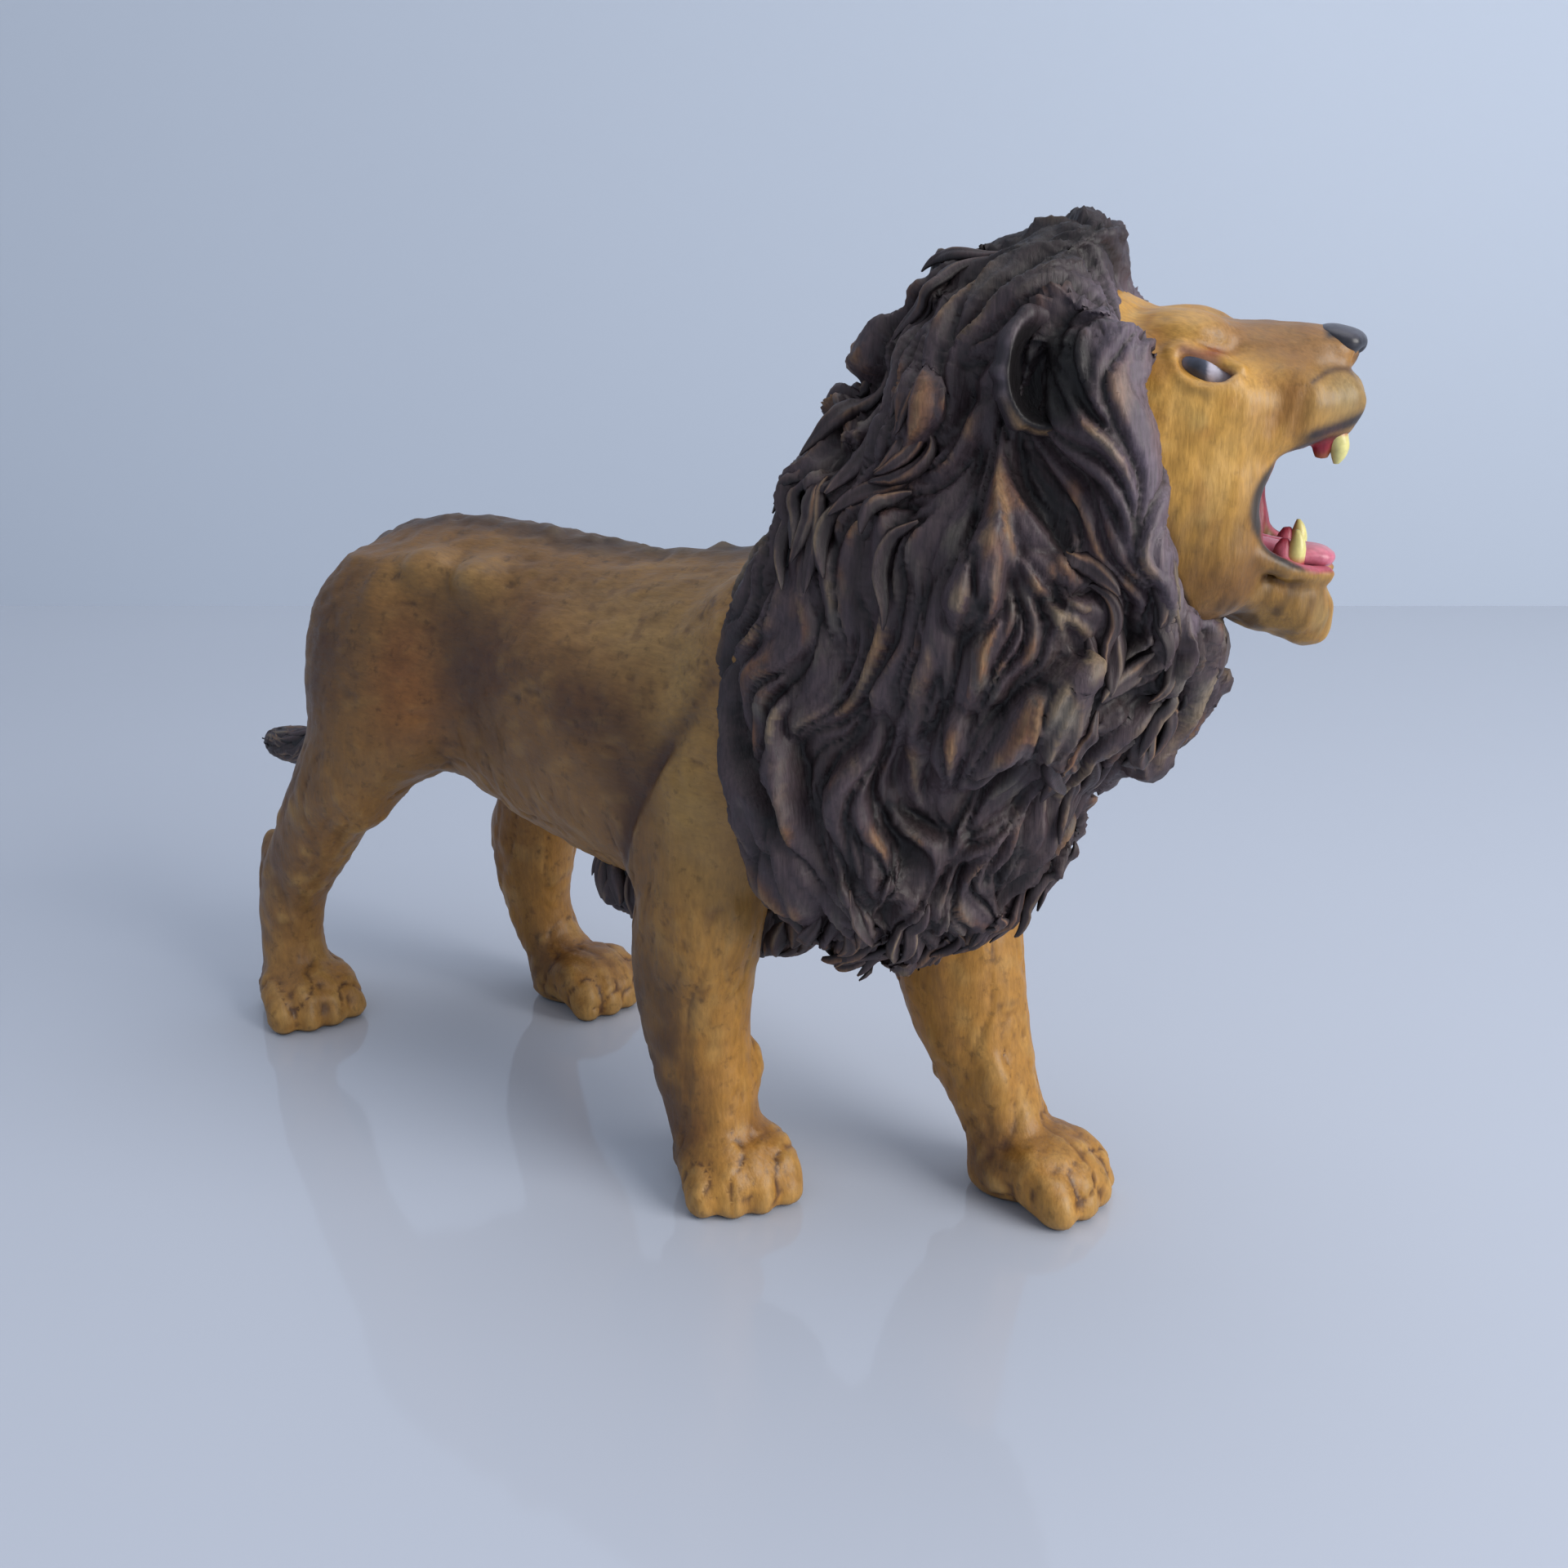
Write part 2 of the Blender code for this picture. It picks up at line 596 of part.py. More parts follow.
def mane(finish):
    """The mane: its masses with locks all round, each from the face edge outwards and down."""
    forms = mane_core()
    core = solid("mane_core", mane_core(), finish, BODY_GRAIN, easing=6, kept_share=0.5)
    skin = BVHTree.FromObject(core, bpy.context.evaluated_depsgraph_get())
    forward, height = MANE_MIDDLE_SHARES
    middle = body_point(forward, 0, height)
    for number in range(MANE_LOCK_COUNT):
        rise = 1 - 2 * (number + 0.5) / MANE_LOCK_COUNT
        spread = math.sqrt(1 - rise * rise)
        angle = GOLDEN_ANGLE * number
        ray = Vector((spread * math.cos(angle), spread * math.sin(angle), rise))
        hit, _, _, _ = skin.ray_cast(middle + ray * BODY_LENGTH, -ray)
        if hit is not None:
            add_lock(forms, skin, hit, number)
    bpy.data.objects.remove(core)
    return solid("mane", forms, finish, MANE_GRAIN, easing=1, kept_share=0.05)


def face_room(guide):
    """The room in front of the mane: its rear face is the edge of the mane round the face."""
    (top_forward, top_height), (low_forward, low_height) = FACE_EDGE_SHARES
    lean = (top_forward - low_forward) / (top_height - low_height)
    reach = FACE_ROOM_REACH_SHARE
    outline = (
        (top_forward + lean * (reach - top_height), reach),
        (low_forward, low_height),
        (reach, low_height),
        (reach, reach),
    )
    forms = bmesh.new()
    ends = []
    for sideways in (-1, 1):
        ends.append([forms.verts.new(head_point(forward, sideways, height)) for forward, height in outline])
    near, far = ends
    forms.faces.new(near)
    forms.faces.new(list(reversed(far)))
    for index in range(len(outline)):
        following = (index + 1) % len(outline)
        forms.faces.new((near[index], near[following], far[following], far[index]))
    return as_tool(solid("face_room", forms, guide))


def belly_mane(finish):
    """The fringe below the chest, between the forelegs."""
    forms = bmesh.new()
    for forward, height, half_length, half_width, half_depth in BELLY_MANE_SHARES:
        half_sizes = (
            half_length * BELLY_MANE_LENGTH,
            half_width * BELLY_MANE_WIDTH,
            half_depth * BELLY_MANE_DEPTH,
        )
        add_ball(forms, body_point(forward, 0, height), half_sizes)
    return solid("belly_mane", forms, finish, HEAD_GRAIN, easing=4, kept_share=0.035)


def add_head_balls(forms, rows):
    """Add masses given in shares of the head's sizes."""
    turned = Matrix.Rotation(HEAD_TURN, 4, "Z")
    for forward, sideways, height, half_length, half_width, half_height in rows:
        half_sizes = (half_length * HEAD_LENGTH, half_width * HEAD_WIDTH, half_height * HEAD_HEIGHT)
        add_ball(forms, head_point(forward, sideways, height), half_sizes, turned)


def head_line(rows):
    """Stations down the middle of the head: forward, height, half width, half depth."""
    stations = []
    for forward, height, half_width, half_depth in rows:
        stations.append((head_point(forward, 0, height), half_width * HEAD_WIDTH, half_depth * HEAD_HEIGHT))
    return stations


def lip_line(rows, side):
    """Stations along one side of a lip: forward, outward, height, half thickness."""
    stations = []
    for forward, outward, height, half_thickness in rows:
        half = half_thickness * HEAD_HEIGHT
        stations.append((head_point(forward, side * outward, height), half, half))
    return stations


def head(finish):
    """Skull, brow, cheeks, muzzle and upper lip."""
    forms = bmesh.new()
    add_head_balls(forms, HEAD_SHARES)
    add_limb(forms, head_line(BRIDGE_SHARES), LEG_SIDE_COUNT)
    for side in (RIGHT, LEFT):
        add_limb(forms, lip_line(LIP_SHARES, side), TAIL_SIDE_COUNT)
    return solid("head", forms, finish, HEAD_GRAIN, easing=4, kept_share=0.05)


def lower_jaw(finish):
    """The dropped lower jaw, with its chin and lip."""
    forms = bmesh.new()
    add_limb(forms, head_line(JAW_SHARES), LEG_SIDE_COUNT)
    add_head_balls(forms, CHIN_SHARES)
    for side in (RIGHT, LEFT):
        add_limb(forms, lip_line(JAW_LIP_SHARES, side), TAIL_SIDE_COUNT)
    return solid("lower_jaw", forms, finish, HEAD_GRAIN, easing=3, kept_share=0.07)


def head_ball(name, place, half_sizes, finish):
    """A small piece of the head: an ellipsoid in line with the muzzle."""
    forms = bmesh.new()
    add_ball(forms, place, half_sizes, Matrix.Rotation(HEAD_TURN, 4, "Z"), small=True)
    return solid(name, forms, finish)


def fang(name, root, pointing, finish):
    """A canine tooth: a short root in its socket, and a cone that curves to a blunt tip."""
    forms = bmesh.new()
    muzzle = head_frame().to_3x3() @ FORWARD
    stations = []
    for run, half_thickness, lean in FANG_SHARES:
        half = half_thickness * FANG_THICKNESS
        middle = root + pointing * (run * FANG_LENGTH) + muzzle * (lean * FANG_THICKNESS)
        stations.append((middle, half, half))
    add_limb(forms, stations, FANG_SIDE_COUNT)
    return solid(name, forms, finish)


def ear(side, finish):
    """A round ear: a bowl with a rim, open to the front and the outside."""
    name = limb_name("ear", side)
    forward, outward, height = EAR_PLACE_SHARES
    place = head_point(forward, side * outward, height)
    half_sizes = (EAR_WIDTH / 2, EAR_WIDTH / 2, EAR_HEIGHT / 2)
    turned = Matrix.Rotation(HEAD_TURN, 4, "Z")
    forms = bmesh.new()
    add_ball(forms, place, half_sizes, turned, small=True)
    shape = solid(name, forms, finish)
    bowl_forward, bowl_outward, bowl_rise = EAR_BOWL_SHARES
    own = Vector((bowl_forward * EAR_WIDTH, side * bowl_outward * EAR_WIDTH, bowl_rise * EAR_HEIGHT))
    inner = [half - EAR_WALL / 2 for half in half_sizes]
    forms = bmesh.new()
    add_ball(forms, place + turned.to_3x3() @ own, inner, turned, small=True)
    cut(shape, as_tool(solid(name + "_bowl", forms, finish)))
    return shape


def limb_name(kind, side):
    """The name of a left or right piece."""
    return kind + "_" + SIDE_NAMES[side]


def face_place(shares, side):
    """A place on one side of the head."""
    forward, outward, height = shares
    return head_point(forward, side * outward, height)


def make_body(coat, foreleg_coat, hair):
    """Trunk, legs and tail, as plain forms before any seat is cut."""
    pieces = {"torso": trunk(coat), "tail": tail(coat), "tail_tuft": tail_tuft(hair)}
    for side in (RIGHT, LEFT):
        name = limb_name("foreleg", side)
        place, turn = FORE_PAW_PLACES_SHARES[side], FORE_PAW_TURNS[side]
        pieces[name] = leg(
            name, side, FORELEG_SHARES[side], FORELEG_THICKNESS, FORE_TRACK, place, turn, foreleg_coat, True
        )
        name = limb_name("hindleg", side)
        place, turn = HIND_PAW_PLACES_SHARES[side], HIND_PAW_TURNS[side]
        pieces[name] = leg(
            name, side, HINDLEG_SHARES[side], HINDLEG_THICKNESS, HIND_TRACK, place, turn, coat, False
        )
    return pieces


def make_head(face, hair, dark):
    """Skull, jaw, mane, fringe, ears, eyes and nose, as plain forms."""
    nose_sizes = [share * NOSE_SIZE for share in NOSE_FORM_SHARES]
    eye_sizes = [share * EYE_SIZE for share in EYE_FORM_SHARES]
    pieces = {
        "mane": mane(hair),
        "belly_mane": belly_mane(hair),
        "head": head(face),
        "lower_jaw": lower_jaw(face),
        "nose_pad": head_ball("nose_pad", head_point(*NOSE_PLACE_SHARES), nose_sizes, dark),
    }
    for side in (RIGHT, LEFT):
        pieces[limb_name("ear", side)] = ear(side, hair)
        name = limb_name("eye", side)
        pieces[name] = head_ball(name, face_place(EYE_PLACE_SHARES, side), eye_sizes, dark)
    return pieces


def make_mouth(gum, tooth):
    """Palate, tongue and the four canine teeth, as plain forms."""
    pieces = {}
    for name, shares, thickness in (
        ("palate", PALATE_PLACE_SHARES, PALATE_THICKNESS),
        ("tongue", TONGUE_PLACE_SHARES, TONGUE_THICKNESS),
    ):
        half_sizes = (TONGUE_LENGTH / 2, TONGUE_WIDTH / 2, thickness / 2)
        pieces[name] = head_ball(name, head_point(*shares), half_sizes, gum)
    for side in (RIGHT, LEFT):
        name = limb_name("upper_fang", side)
        pieces[name] = fang(name, face_place(UPPER_FANG_SHARES, side), -UP, tooth)
        name = limb_name("lower_fang", side)
        pieces[name] = fang(name, face_place(LOWER_FANG_SHARES, side), UP, tooth)
    return pieces


def seat_pieces(pieces, guide):
    """Cut each piece's seat in its neighbours, and the soles flat on the floor."""
    room = {name: seat_tool(piece) for name, piece in pieces.items()}
    forelegs = [limb_name("foreleg", side) for side in (RIGHT, LEFT)]
    hindlegs = [limb_name("hindleg", side) for side in (RIGHT, LEFT)]
    ears = [limb_name("ear", side) for side in (RIGHT, LEFT)]
    eyes = [limb_name("eye", side) for side in (RIGHT, LEFT)]
    upper_fangs = [limb_name("upper_fang", side) for side in (RIGHT, LEFT)]
    lower_fangs = [limb_name("lower_fang", side) for side in (RIGHT, LEFT)]

    floor = floor_room(guide)
    for name in forelegs + hindlegs:
        cut(pieces[name], floor)
    face = face_room(guide)
    cut(pieces["mane"], face)
    seats = (
        ("torso", forelegs + hindlegs + ["tail"]),
        ("tail_tuft", ["tail"]),
        ("mane", ["torso", *forelegs, "head", "lower_jaw", *ears]),
        ("belly_mane", ["torso", *forelegs, "mane"]),
        (ears[0], ["head"]),
        (ears[1], ["head"]),
        ("head", ["torso", "nose_pad", *eyes, *upper_fangs, "palate"]),
        ("lower_jaw", ["head", "torso", *lower_fangs, "tongue"]),
        ("tongue", ["head", *lower_fangs]),
        ("palate", upper_fangs),
    )
    for name, neighbours in seats:
        cut(pieces[name], *[room[neighbour] for neighbour in neighbours])


def build():
    """Make every piece, then seat them in each other with the bond gap between them."""
    for old in list(bpy.data.objects):
        bpy.data.objects.remove(old)
    coat = material("painted_tan_coat", (0.33, 0.19, 0.07), 0.5)
    foreleg_coat = material("painted_ochre_coat", (0.48, 0.30, 0.09), 0.5)
    hair = material("painted_dark_mane", (0.035, 0.024, 0.026), 0.45)
    face = material("painted_ochre_face", (0.50, 0.28, 0.08), 0.5)
    dark = material("painted_black_detail", (0.02, 0.02, 0.025), 0.35)
    gum = material("painted_pink_mouth", (0.55, 0.16, 0.18), 0.4)
    tooth = material("painted_cream_tooth", (0.72, 0.66, 0.36), 0.35)
    guide = material("guide", (1, 1, 1), 0.5)

    pieces = make_body(coat, foreleg_coat, hair)
    pieces.update(make_head(face, hair, dark))
    pieces.update(make_mouth(gum, tooth))
    seat_pieces(pieces, guide)
    for piece in pieces.values():
        shade(piece)


build()
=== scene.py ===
"""Looks of a hand-painted vinyl lion figure, standing and roaring.

Every form is worked out with numpy in millimetres, in the frame of the solids: +X towards the
chest, +Y to the animal's left, +Z up. The flesh is a distance field on a regular grid, whose zero
level is turned into a mesh. The mane is such a mass too: noise that is combed along the fall of the
hair raises its ridges and strands, and single locks, each a ridged profile carried along a wavy path,
stand out at its edges. The paint is an attribute on each mesh, and the shaders add what is finer.
"""

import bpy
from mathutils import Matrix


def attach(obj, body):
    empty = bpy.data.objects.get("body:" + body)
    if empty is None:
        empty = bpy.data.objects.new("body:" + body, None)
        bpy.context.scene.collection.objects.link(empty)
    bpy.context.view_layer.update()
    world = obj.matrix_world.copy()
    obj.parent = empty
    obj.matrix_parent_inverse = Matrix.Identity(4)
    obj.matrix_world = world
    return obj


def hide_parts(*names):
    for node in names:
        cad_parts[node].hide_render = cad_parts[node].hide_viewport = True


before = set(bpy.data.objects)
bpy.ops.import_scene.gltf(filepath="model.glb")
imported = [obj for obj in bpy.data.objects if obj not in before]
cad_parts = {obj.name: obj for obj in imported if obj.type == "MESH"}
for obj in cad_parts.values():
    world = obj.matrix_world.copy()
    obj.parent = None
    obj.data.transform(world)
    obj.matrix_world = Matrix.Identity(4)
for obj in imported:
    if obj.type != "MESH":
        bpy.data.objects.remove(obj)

import copy
import itertools
import logging
import math
from dataclasses import dataclass, field
from enum import Enum
from typing import Callable, Sequence

import bpy
import numpy as np
from mathutils import Vector

Array = np.ndarray
Rows = Sequence[tuple]
Distance = Callable[[Array, Array, Array], Array]

MM = 0.001
BODY = "root"
FAR = 9.0
log = logging.getLogger("lion")


class Side(Enum):
    """The animal's own sides, as the sign of Y."""

    RIGHT = -1
    LEFT = 1


BOTH = (Side.RIGHT, Side.LEFT)


def linear(hex_colour: str) -> Array:
    """Turn an sRGB hex colour into linear light.

    Args:
        hex_colour: Six hex digits after a hash.

    Returns:
        Three linear values.
    """
    srgb = np.array([int(hex_colour[index:index + 2], 16) / 255 for index in (1, 3, 5)])
    return np.where(srgb <= 0.04045, srgb / 12.92, ((srgb + 0.055) / 1.055) ** 2.4)


def ramp(value: Array, low: float, high: float) -> Array:
    """Ease from 0 at low to 1 at high."""
    share = np.clip((value - low) / (high - low), 0, 1)
    return share * share * (3 - 2 * share)


def near(points: Array, middle: Sequence[float], reach: Sequence[float]) -> Array:
    """A soft spot: 1 at its middle, falling off as a Gaussian with the given reach on each axis."""
    return np.exp(-(((points - np.array(middle)) / np.array(reach)) ** 2).sum(axis=1))


def ease_table(rows: Array, at: Array) -> list[Array]:
    """Read a table between its rows: cubic Hermite curves with slopes from the rows' differences.

    Args:
        rows: A table whose first column rises.
        at: Places along the first column, of any shape.

    Returns:
        One array for each other column, each of the shape of at.
    """
    knots = rows[:, 0]
    slopes = np.gradient(rows[:, 1:], knots, axis=0)
    flat = np.clip(at.ravel(), knots[0], knots[-1])
    index = np.clip(np.searchsorted(knots, flat) - 1, 0, len(knots) - 2)
    gap = (knots[index + 1] - knots[index])[:, None]
    share = (flat[:, None] - knots[index][:, None]) / gap
    start, end = rows[index, 1:], rows[index + 1, 1:]
    cube, square = share ** 3, share ** 2
    curve = (2 * cube - 3 * square + 1) * start + (3 * square - 2 * cube) * end
    curve += gap * ((cube - 2 * square + share) * slopes[index] + (cube - square) * slopes[index + 1])
    return [curve[:, column].reshape(at.shape) for column in range(curve.shape[1])]


def lattice_noise(points: Array, seed: int) -> Array:
    """Value noise: a random number at each corner of a unit lattice, eased between the corners.

    Args:
        points: Places in lattice units, one row each.
        seed: Picks another pattern.

    Returns:
        Values from -1 to 1.
    """
    cell = np.floor(points).astype(np.int64)
    part = points - cell
    part = part * part * (3 - 2 * part)
    total = np.zeros(len(points))
    for corner in itertools.product((0, 1), repeat=3):
        key = cell + np.array(corner)
        mixed = key[:, 0] * 73856093 ^ key[:, 1] * 19349663 ^ key[:, 2] * 83492791 ^ (seed + 7) * 2654435
        mixed = (mixed ^ (mixed >> 15)) * 2246822519 & 0xFFFFFFFF
        mixed = (mixed ^ (mixed >> 13)) * 3266489917 & 0xFFFFFFFF
        value = (mixed ^ (mixed >> 16)) / 0x7FFFFFFF - 1
        weight = np.where(np.array(corner) == 1, part, 1 - part).prod(axis=1)
        total += weight * value
    return total


def mottle(points: Array, size: float, seed: int) -> Array:
    """Two layers of lattice noise, the finer at half the size and strength."""
    return (lattice_noise(points / size, seed) + 0.5 * lattice_noise(points * 2 / size, seed + 1)) / 1.5


def streaks(points: Array, along: Sequence[float], width: float, length: float, seed: int) -> Array:
    """Lattice noise drawn out along a direction, as combed hair is."""
    direction = np.array(along) / np.linalg.norm(along)
    run = (points @ direction)[:, None] * direction
    return lattice_noise((points - run) / width + run / length, seed)


def smooth_min(first: Array, second: Array, softness: float) -> Array:
    """The lower of two distances, with the crease between them filled over the softness."""
    share = np.clip(0.5 + 0.5 * (second - first) / softness, 0, 1)
    return second + (first - second) * share - softness * share * (1 - share)


@dataclass(frozen=True)
class Form:
    """A form as a distance function, negative inside, with the box that holds it."""

    distance: Distance
    low: Array
    high: Array


def ball(middle: Sequence[float], half: Sequence[float], turn: float = 0, pitch: float = 0) -> Form:
    """An ellipsoid: its distance is k0 (k0 - 1) / k1, from the scaled radius and its gradient.

    Args:
        middle: Its middle.
        half: Half sizes along its own axes.
        turn: Its turn about Z, in degrees.
        pitch: How far its nose points up, in degrees.

    Returns:
        The form.
    """
    turn_sin, turn_cos = math.sin(math.radians(turn)), math.cos(math.radians(turn))
    pitch_sin, pitch_cos = math.sin(math.radians(pitch)), math.cos(math.radians(pitch))

    def distance(x: Array, y: Array, z: Array) -> Array:
        ahead = (x - middle[0]) * turn_cos + (y - middle[1]) * turn_sin
        side = (y - middle[1]) * turn_cos - (x - middle[0]) * turn_sin
        rise = z - middle[2]
        nose = ahead * pitch_cos + rise * pitch_sin
        rise = rise * pitch_cos - ahead * pitch_sin
        scaled = np.sqrt((nose / half[0]) ** 2 + (side / half[1]) ** 2 + (rise / half[2]) ** 2)
        slope = np.sqrt(
            (nose / half[0] ** 2) ** 2 + (side / half[1] ** 2) ** 2 + (rise / half[2] ** 2) ** 2
        )
        return np.where(slope > 1e-6, scaled / np.maximum(slope, 1e-6), min(half)) * (scaled - 1)

    reach = max(half) if turn or pitch else np.array(half)
    return Form(distance, np.array(middle) - reach, np.array(middle) + reach)


def tube(rows: Rows, axis: int, squareness: float = 2.0) -> Form:
    """A limb or trunk along one axis, with an oval section that changes along it.

    Args:
        rows: Place along the axis, the middle on the other two axes, and two half sizes.
        axis: 0 along X, 2 along Z.
        squareness: 2 for ovals, more for squarer sections.

    Returns:
        The form.
    """
    table = np.array(sorted(rows), float)
    others = [index for index in range(3) if index != axis]

    def distance(x: Array, y: Array, z: Array) -> Array:
        places = (x, y, z)
        middle_a, middle_b, half_a, half_b = ease_table(table, places[axis])
        across = np.abs(places[others[0]] - middle_a) / half_a
        over = np.abs(places[others[1]] - middle_b) / half_b
        scaled = (across ** squareness + over ** squareness) ** (1 / squareness)
        slope = np.sqrt((across / half_a) ** 2 + (over / half_b) ** 2)
        least = np.minimum(half_a, half_b)
        side = np.where(slope > 1e-4, scaled / np.maximum(slope, 1e-4), least) * (scaled - 1)
        ends = np.maximum(table[0, 0] - places[axis], places[axis] - table[-1, 0])
        return -smooth_min(-side, -ends, 1.0)

    low, high = np.empty(3), np.empty(3)
    low[axis], high[axis] = table[0, 0], table[-1, 0]
    for column, other in enumerate(others):
        low[other] = (table[:, 1 + column] - table[:, 3 + column]).min()
        high[other] = (table[:, 1 + column] + table[:, 3 + column]).max()
    return Form(distance, low, high)


def spline(points: Rows, count: int) -> Array:
    """Points spaced evenly in number on an eased curve through the given ones."""
    table = np.column_stack([np.arange(len(points)), np.array(points, float)])
    return np.column_stack(ease_table(table, np.linspace(0, len(points) - 1, count)))


def line_mark(points: Array, line: Rows, width: float) -> Array:
    """How near points lie to a line seen from the side: 1 on it, falling off as a Gaussian.

    Args:
        points: Places, one row each.
        line: X and Z of points on the line.
        width: Where the mark has fallen to 0.37.

    Returns:
        The mark at each point.
    """
    gap = np.full(len(points), FAR)
    for x, z in spline(line, 8 * len(line)):
        gap = np.minimum(gap, np.hypot(points[:, 0] - x, points[:, 2] - z))
    return np.exp(-(gap / width) ** 2)


def rope(points: Rows, samples: int = 12) -> Form:
    """A rounded strand through points, each a place and a radius, as a union of tapered runs."""
    dense = spline(points, samples)

    def distance(x: Array, y: Array, z: Array) -> Array:
        nearest = None
        for start, end in zip(dense, dense[1:]):
            run = end[:3] - start[:3]
            offset = [axis - start[index] for index, axis in enumerate((x, y, z))]
            share = sum(offset[index] * run[index] for index in range(3)) / (run @ run)
            share = np.clip(share, 0, 1)
            gap = np.sqrt(sum((offset[index] - share * run[index]) ** 2 for index in range(3)))
            gap = gap - (start[3] + (end[3] - start[3]) * share)
            nearest = gap if nearest is None else np.minimum(nearest, gap)
        return nearest

    radii = dense[:, 3:]
    return Form(distance, (dense[:, :3] - radii).min(axis=0), (dense[:, :3] + radii).max(axis=0))


@dataclass
class Block:
    """A block of space on a regular grid, in which forms are blended and carved.

    Attributes:
        low: Its lowest corner.
        high: Its highest corner.
        step: The grid's spacing.
    """

    low: Sequence[float]
    high: Sequence[float]
    step: float
    values: Array = field(init=False)

    def __post_init__(self) -> None:
        """Fill the block with empty space."""
        self.low = np.array(self.low, float)
        self.counts = np.ceil((np.array(self.high) - self.low) / self.step).astype(int) + 1
        self.values = np.full(self.counts, FAR, np.float32)

    def window(self, form: Form, margin: float) -> tuple[tuple, list[Array]]:
        """The part of the grid round a form.

        Args:
            form: The form.
            margin: How far the part reaches past the form's box.

        Returns:
            The slices into the grid, and the grid's places there, one open array for each axis.
        """
        first = np.floor((form.low - margin - self.low) / self.step).astype(int)
        last = np.ceil((form.high + margin - self.low) / self.step).astype(int) + 1
        first, last = np.clip(first, 0, self.counts), np.clip(last, 0, self.counts)
        slices = tuple(slice(a, b) for a, b in zip(first, last))
        axes = [self.low[index] + self.step * np.arange(first[index], last[index]) for index in range(3)]
        return slices, list(np.meshgrid(*axes, indexing="ij", sparse=True))

    def add(self, form: Form, softness: float) -> None:
        """Blend a form into the block."""
        slices, axes = self.window(form, 2 * softness + 2 * self.step)
        self.values[slices] = smooth_min(self.values[slices], form.distance(*axes), softness)

    def carve(self, form: Form, softness: float) -> None:
        """Cut a form out of the block."""
        slices, axes = self.window(form, 2 * softness + 2 * self.step)
        self.values[slices] = -smooth_min(-self.values[slices], form.distance(*axes), softness)

    def sample(self, points: Array) -> Array:
        """The distance at points, mixed from the eight grid values round each."""
        place = np.clip((points - self.low) / self.step, 0, self.counts - 1.001)
        cell = np.floor(place).astype(int)
        part = place - cell
        total = np.zeros(len(points))
        for corner in itertools.product((0, 1), repeat=3):
            weight = np.where(np.array(corner) == 1, part, 1 - part).prod(axis=1)
            index = np.minimum(cell + np.array(corner), self.counts - 1)
            total += weight * self.values[tuple(index.T)]
        return total

    def slope(self, points: Array) -> Array:
        """The unit direction in which the distance grows, by central differences."""
        columns = []
        for axis in np.eye(3) * self.step:
            columns.append(self.sample(points + axis) - self.sample(points - axis))
        gradient = np.column_stack(columns)
        return gradient / np.maximum(np.linalg.norm(gradient, axis=1), 1e-9)[:, None]

    def finer(self, times: int) -> "Block":
        """The same block on a grid that is finer by a whole number, its values mixed between the old ones."""
        values = self.values
        for axis in range(3):
            values = np.moveaxis(values, axis, 0)
            parts = [values[:-1] + (values[1:] - values[:-1]) * (part / times) for part in range(times)]
            mixed = np.stack(parts, axis=1).reshape(-1, *values.shape[1:])
            values = np.moveaxis(np.concatenate([mixed, values[-1:]]), 0, axis)
        made = copy.copy(self)
        made.step = self.step / times
        made.counts = np.array(values.shape)
        made.values = np.ascontiguousarray(values)
        return made

    def surface(self) -> "Skin":
        """The zero level: one vertex in each cell that it crosses, one face on each crossed edge.

        Returns:
            The surface as vertices and faces of four corners, which point outwards.
        """
        rings, places = [], []
        for axis in range(3):
            before = [slice(None)] * 3
            after = [slice(None)] * 3
            before[axis], after[axis] = slice(None, -1), slice(1, None)
            first, second = self.values[tuple(before)], self.values[tuple(after)]
            edges = np.argwhere((first < 0) != (second < 0))
            start, end = first[tuple(edges.T)], second[tuple(edges.T)]
            place = edges.astype(float)
            place[:, axis] += start / (start - end)
            across, over = (axis + 1) % 3, (axis + 2) % 3
            ring = []
            for back_across, back_over in ((0, 0), (1, 0), (1, 1), (0, 1)):
                cell = edges.copy()
                cell[:, across] -= back_across
                cell[:, over] -= back_over
                ring.append(np.ravel_multi_index(cell.T, self.counts))
            ring = np.stack(ring, axis=1)
            ring[start > 0] = ring[start > 0][:, ::-1]
            rings.append(ring)
            places.append(np.repeat(place, 4, axis=0))
        numbers = np.unique(np.concatenate(rings), return_inverse=True)[1].ravel()
        place = np.concatenate(places)
        count = np.bincount(numbers)
        vertices = np.column_stack([np.bincount(numbers, place[:, axis]) / count for axis in range(3)])
        return Skin(vertices * self.step + self.low, numbers.reshape(-1, 4))


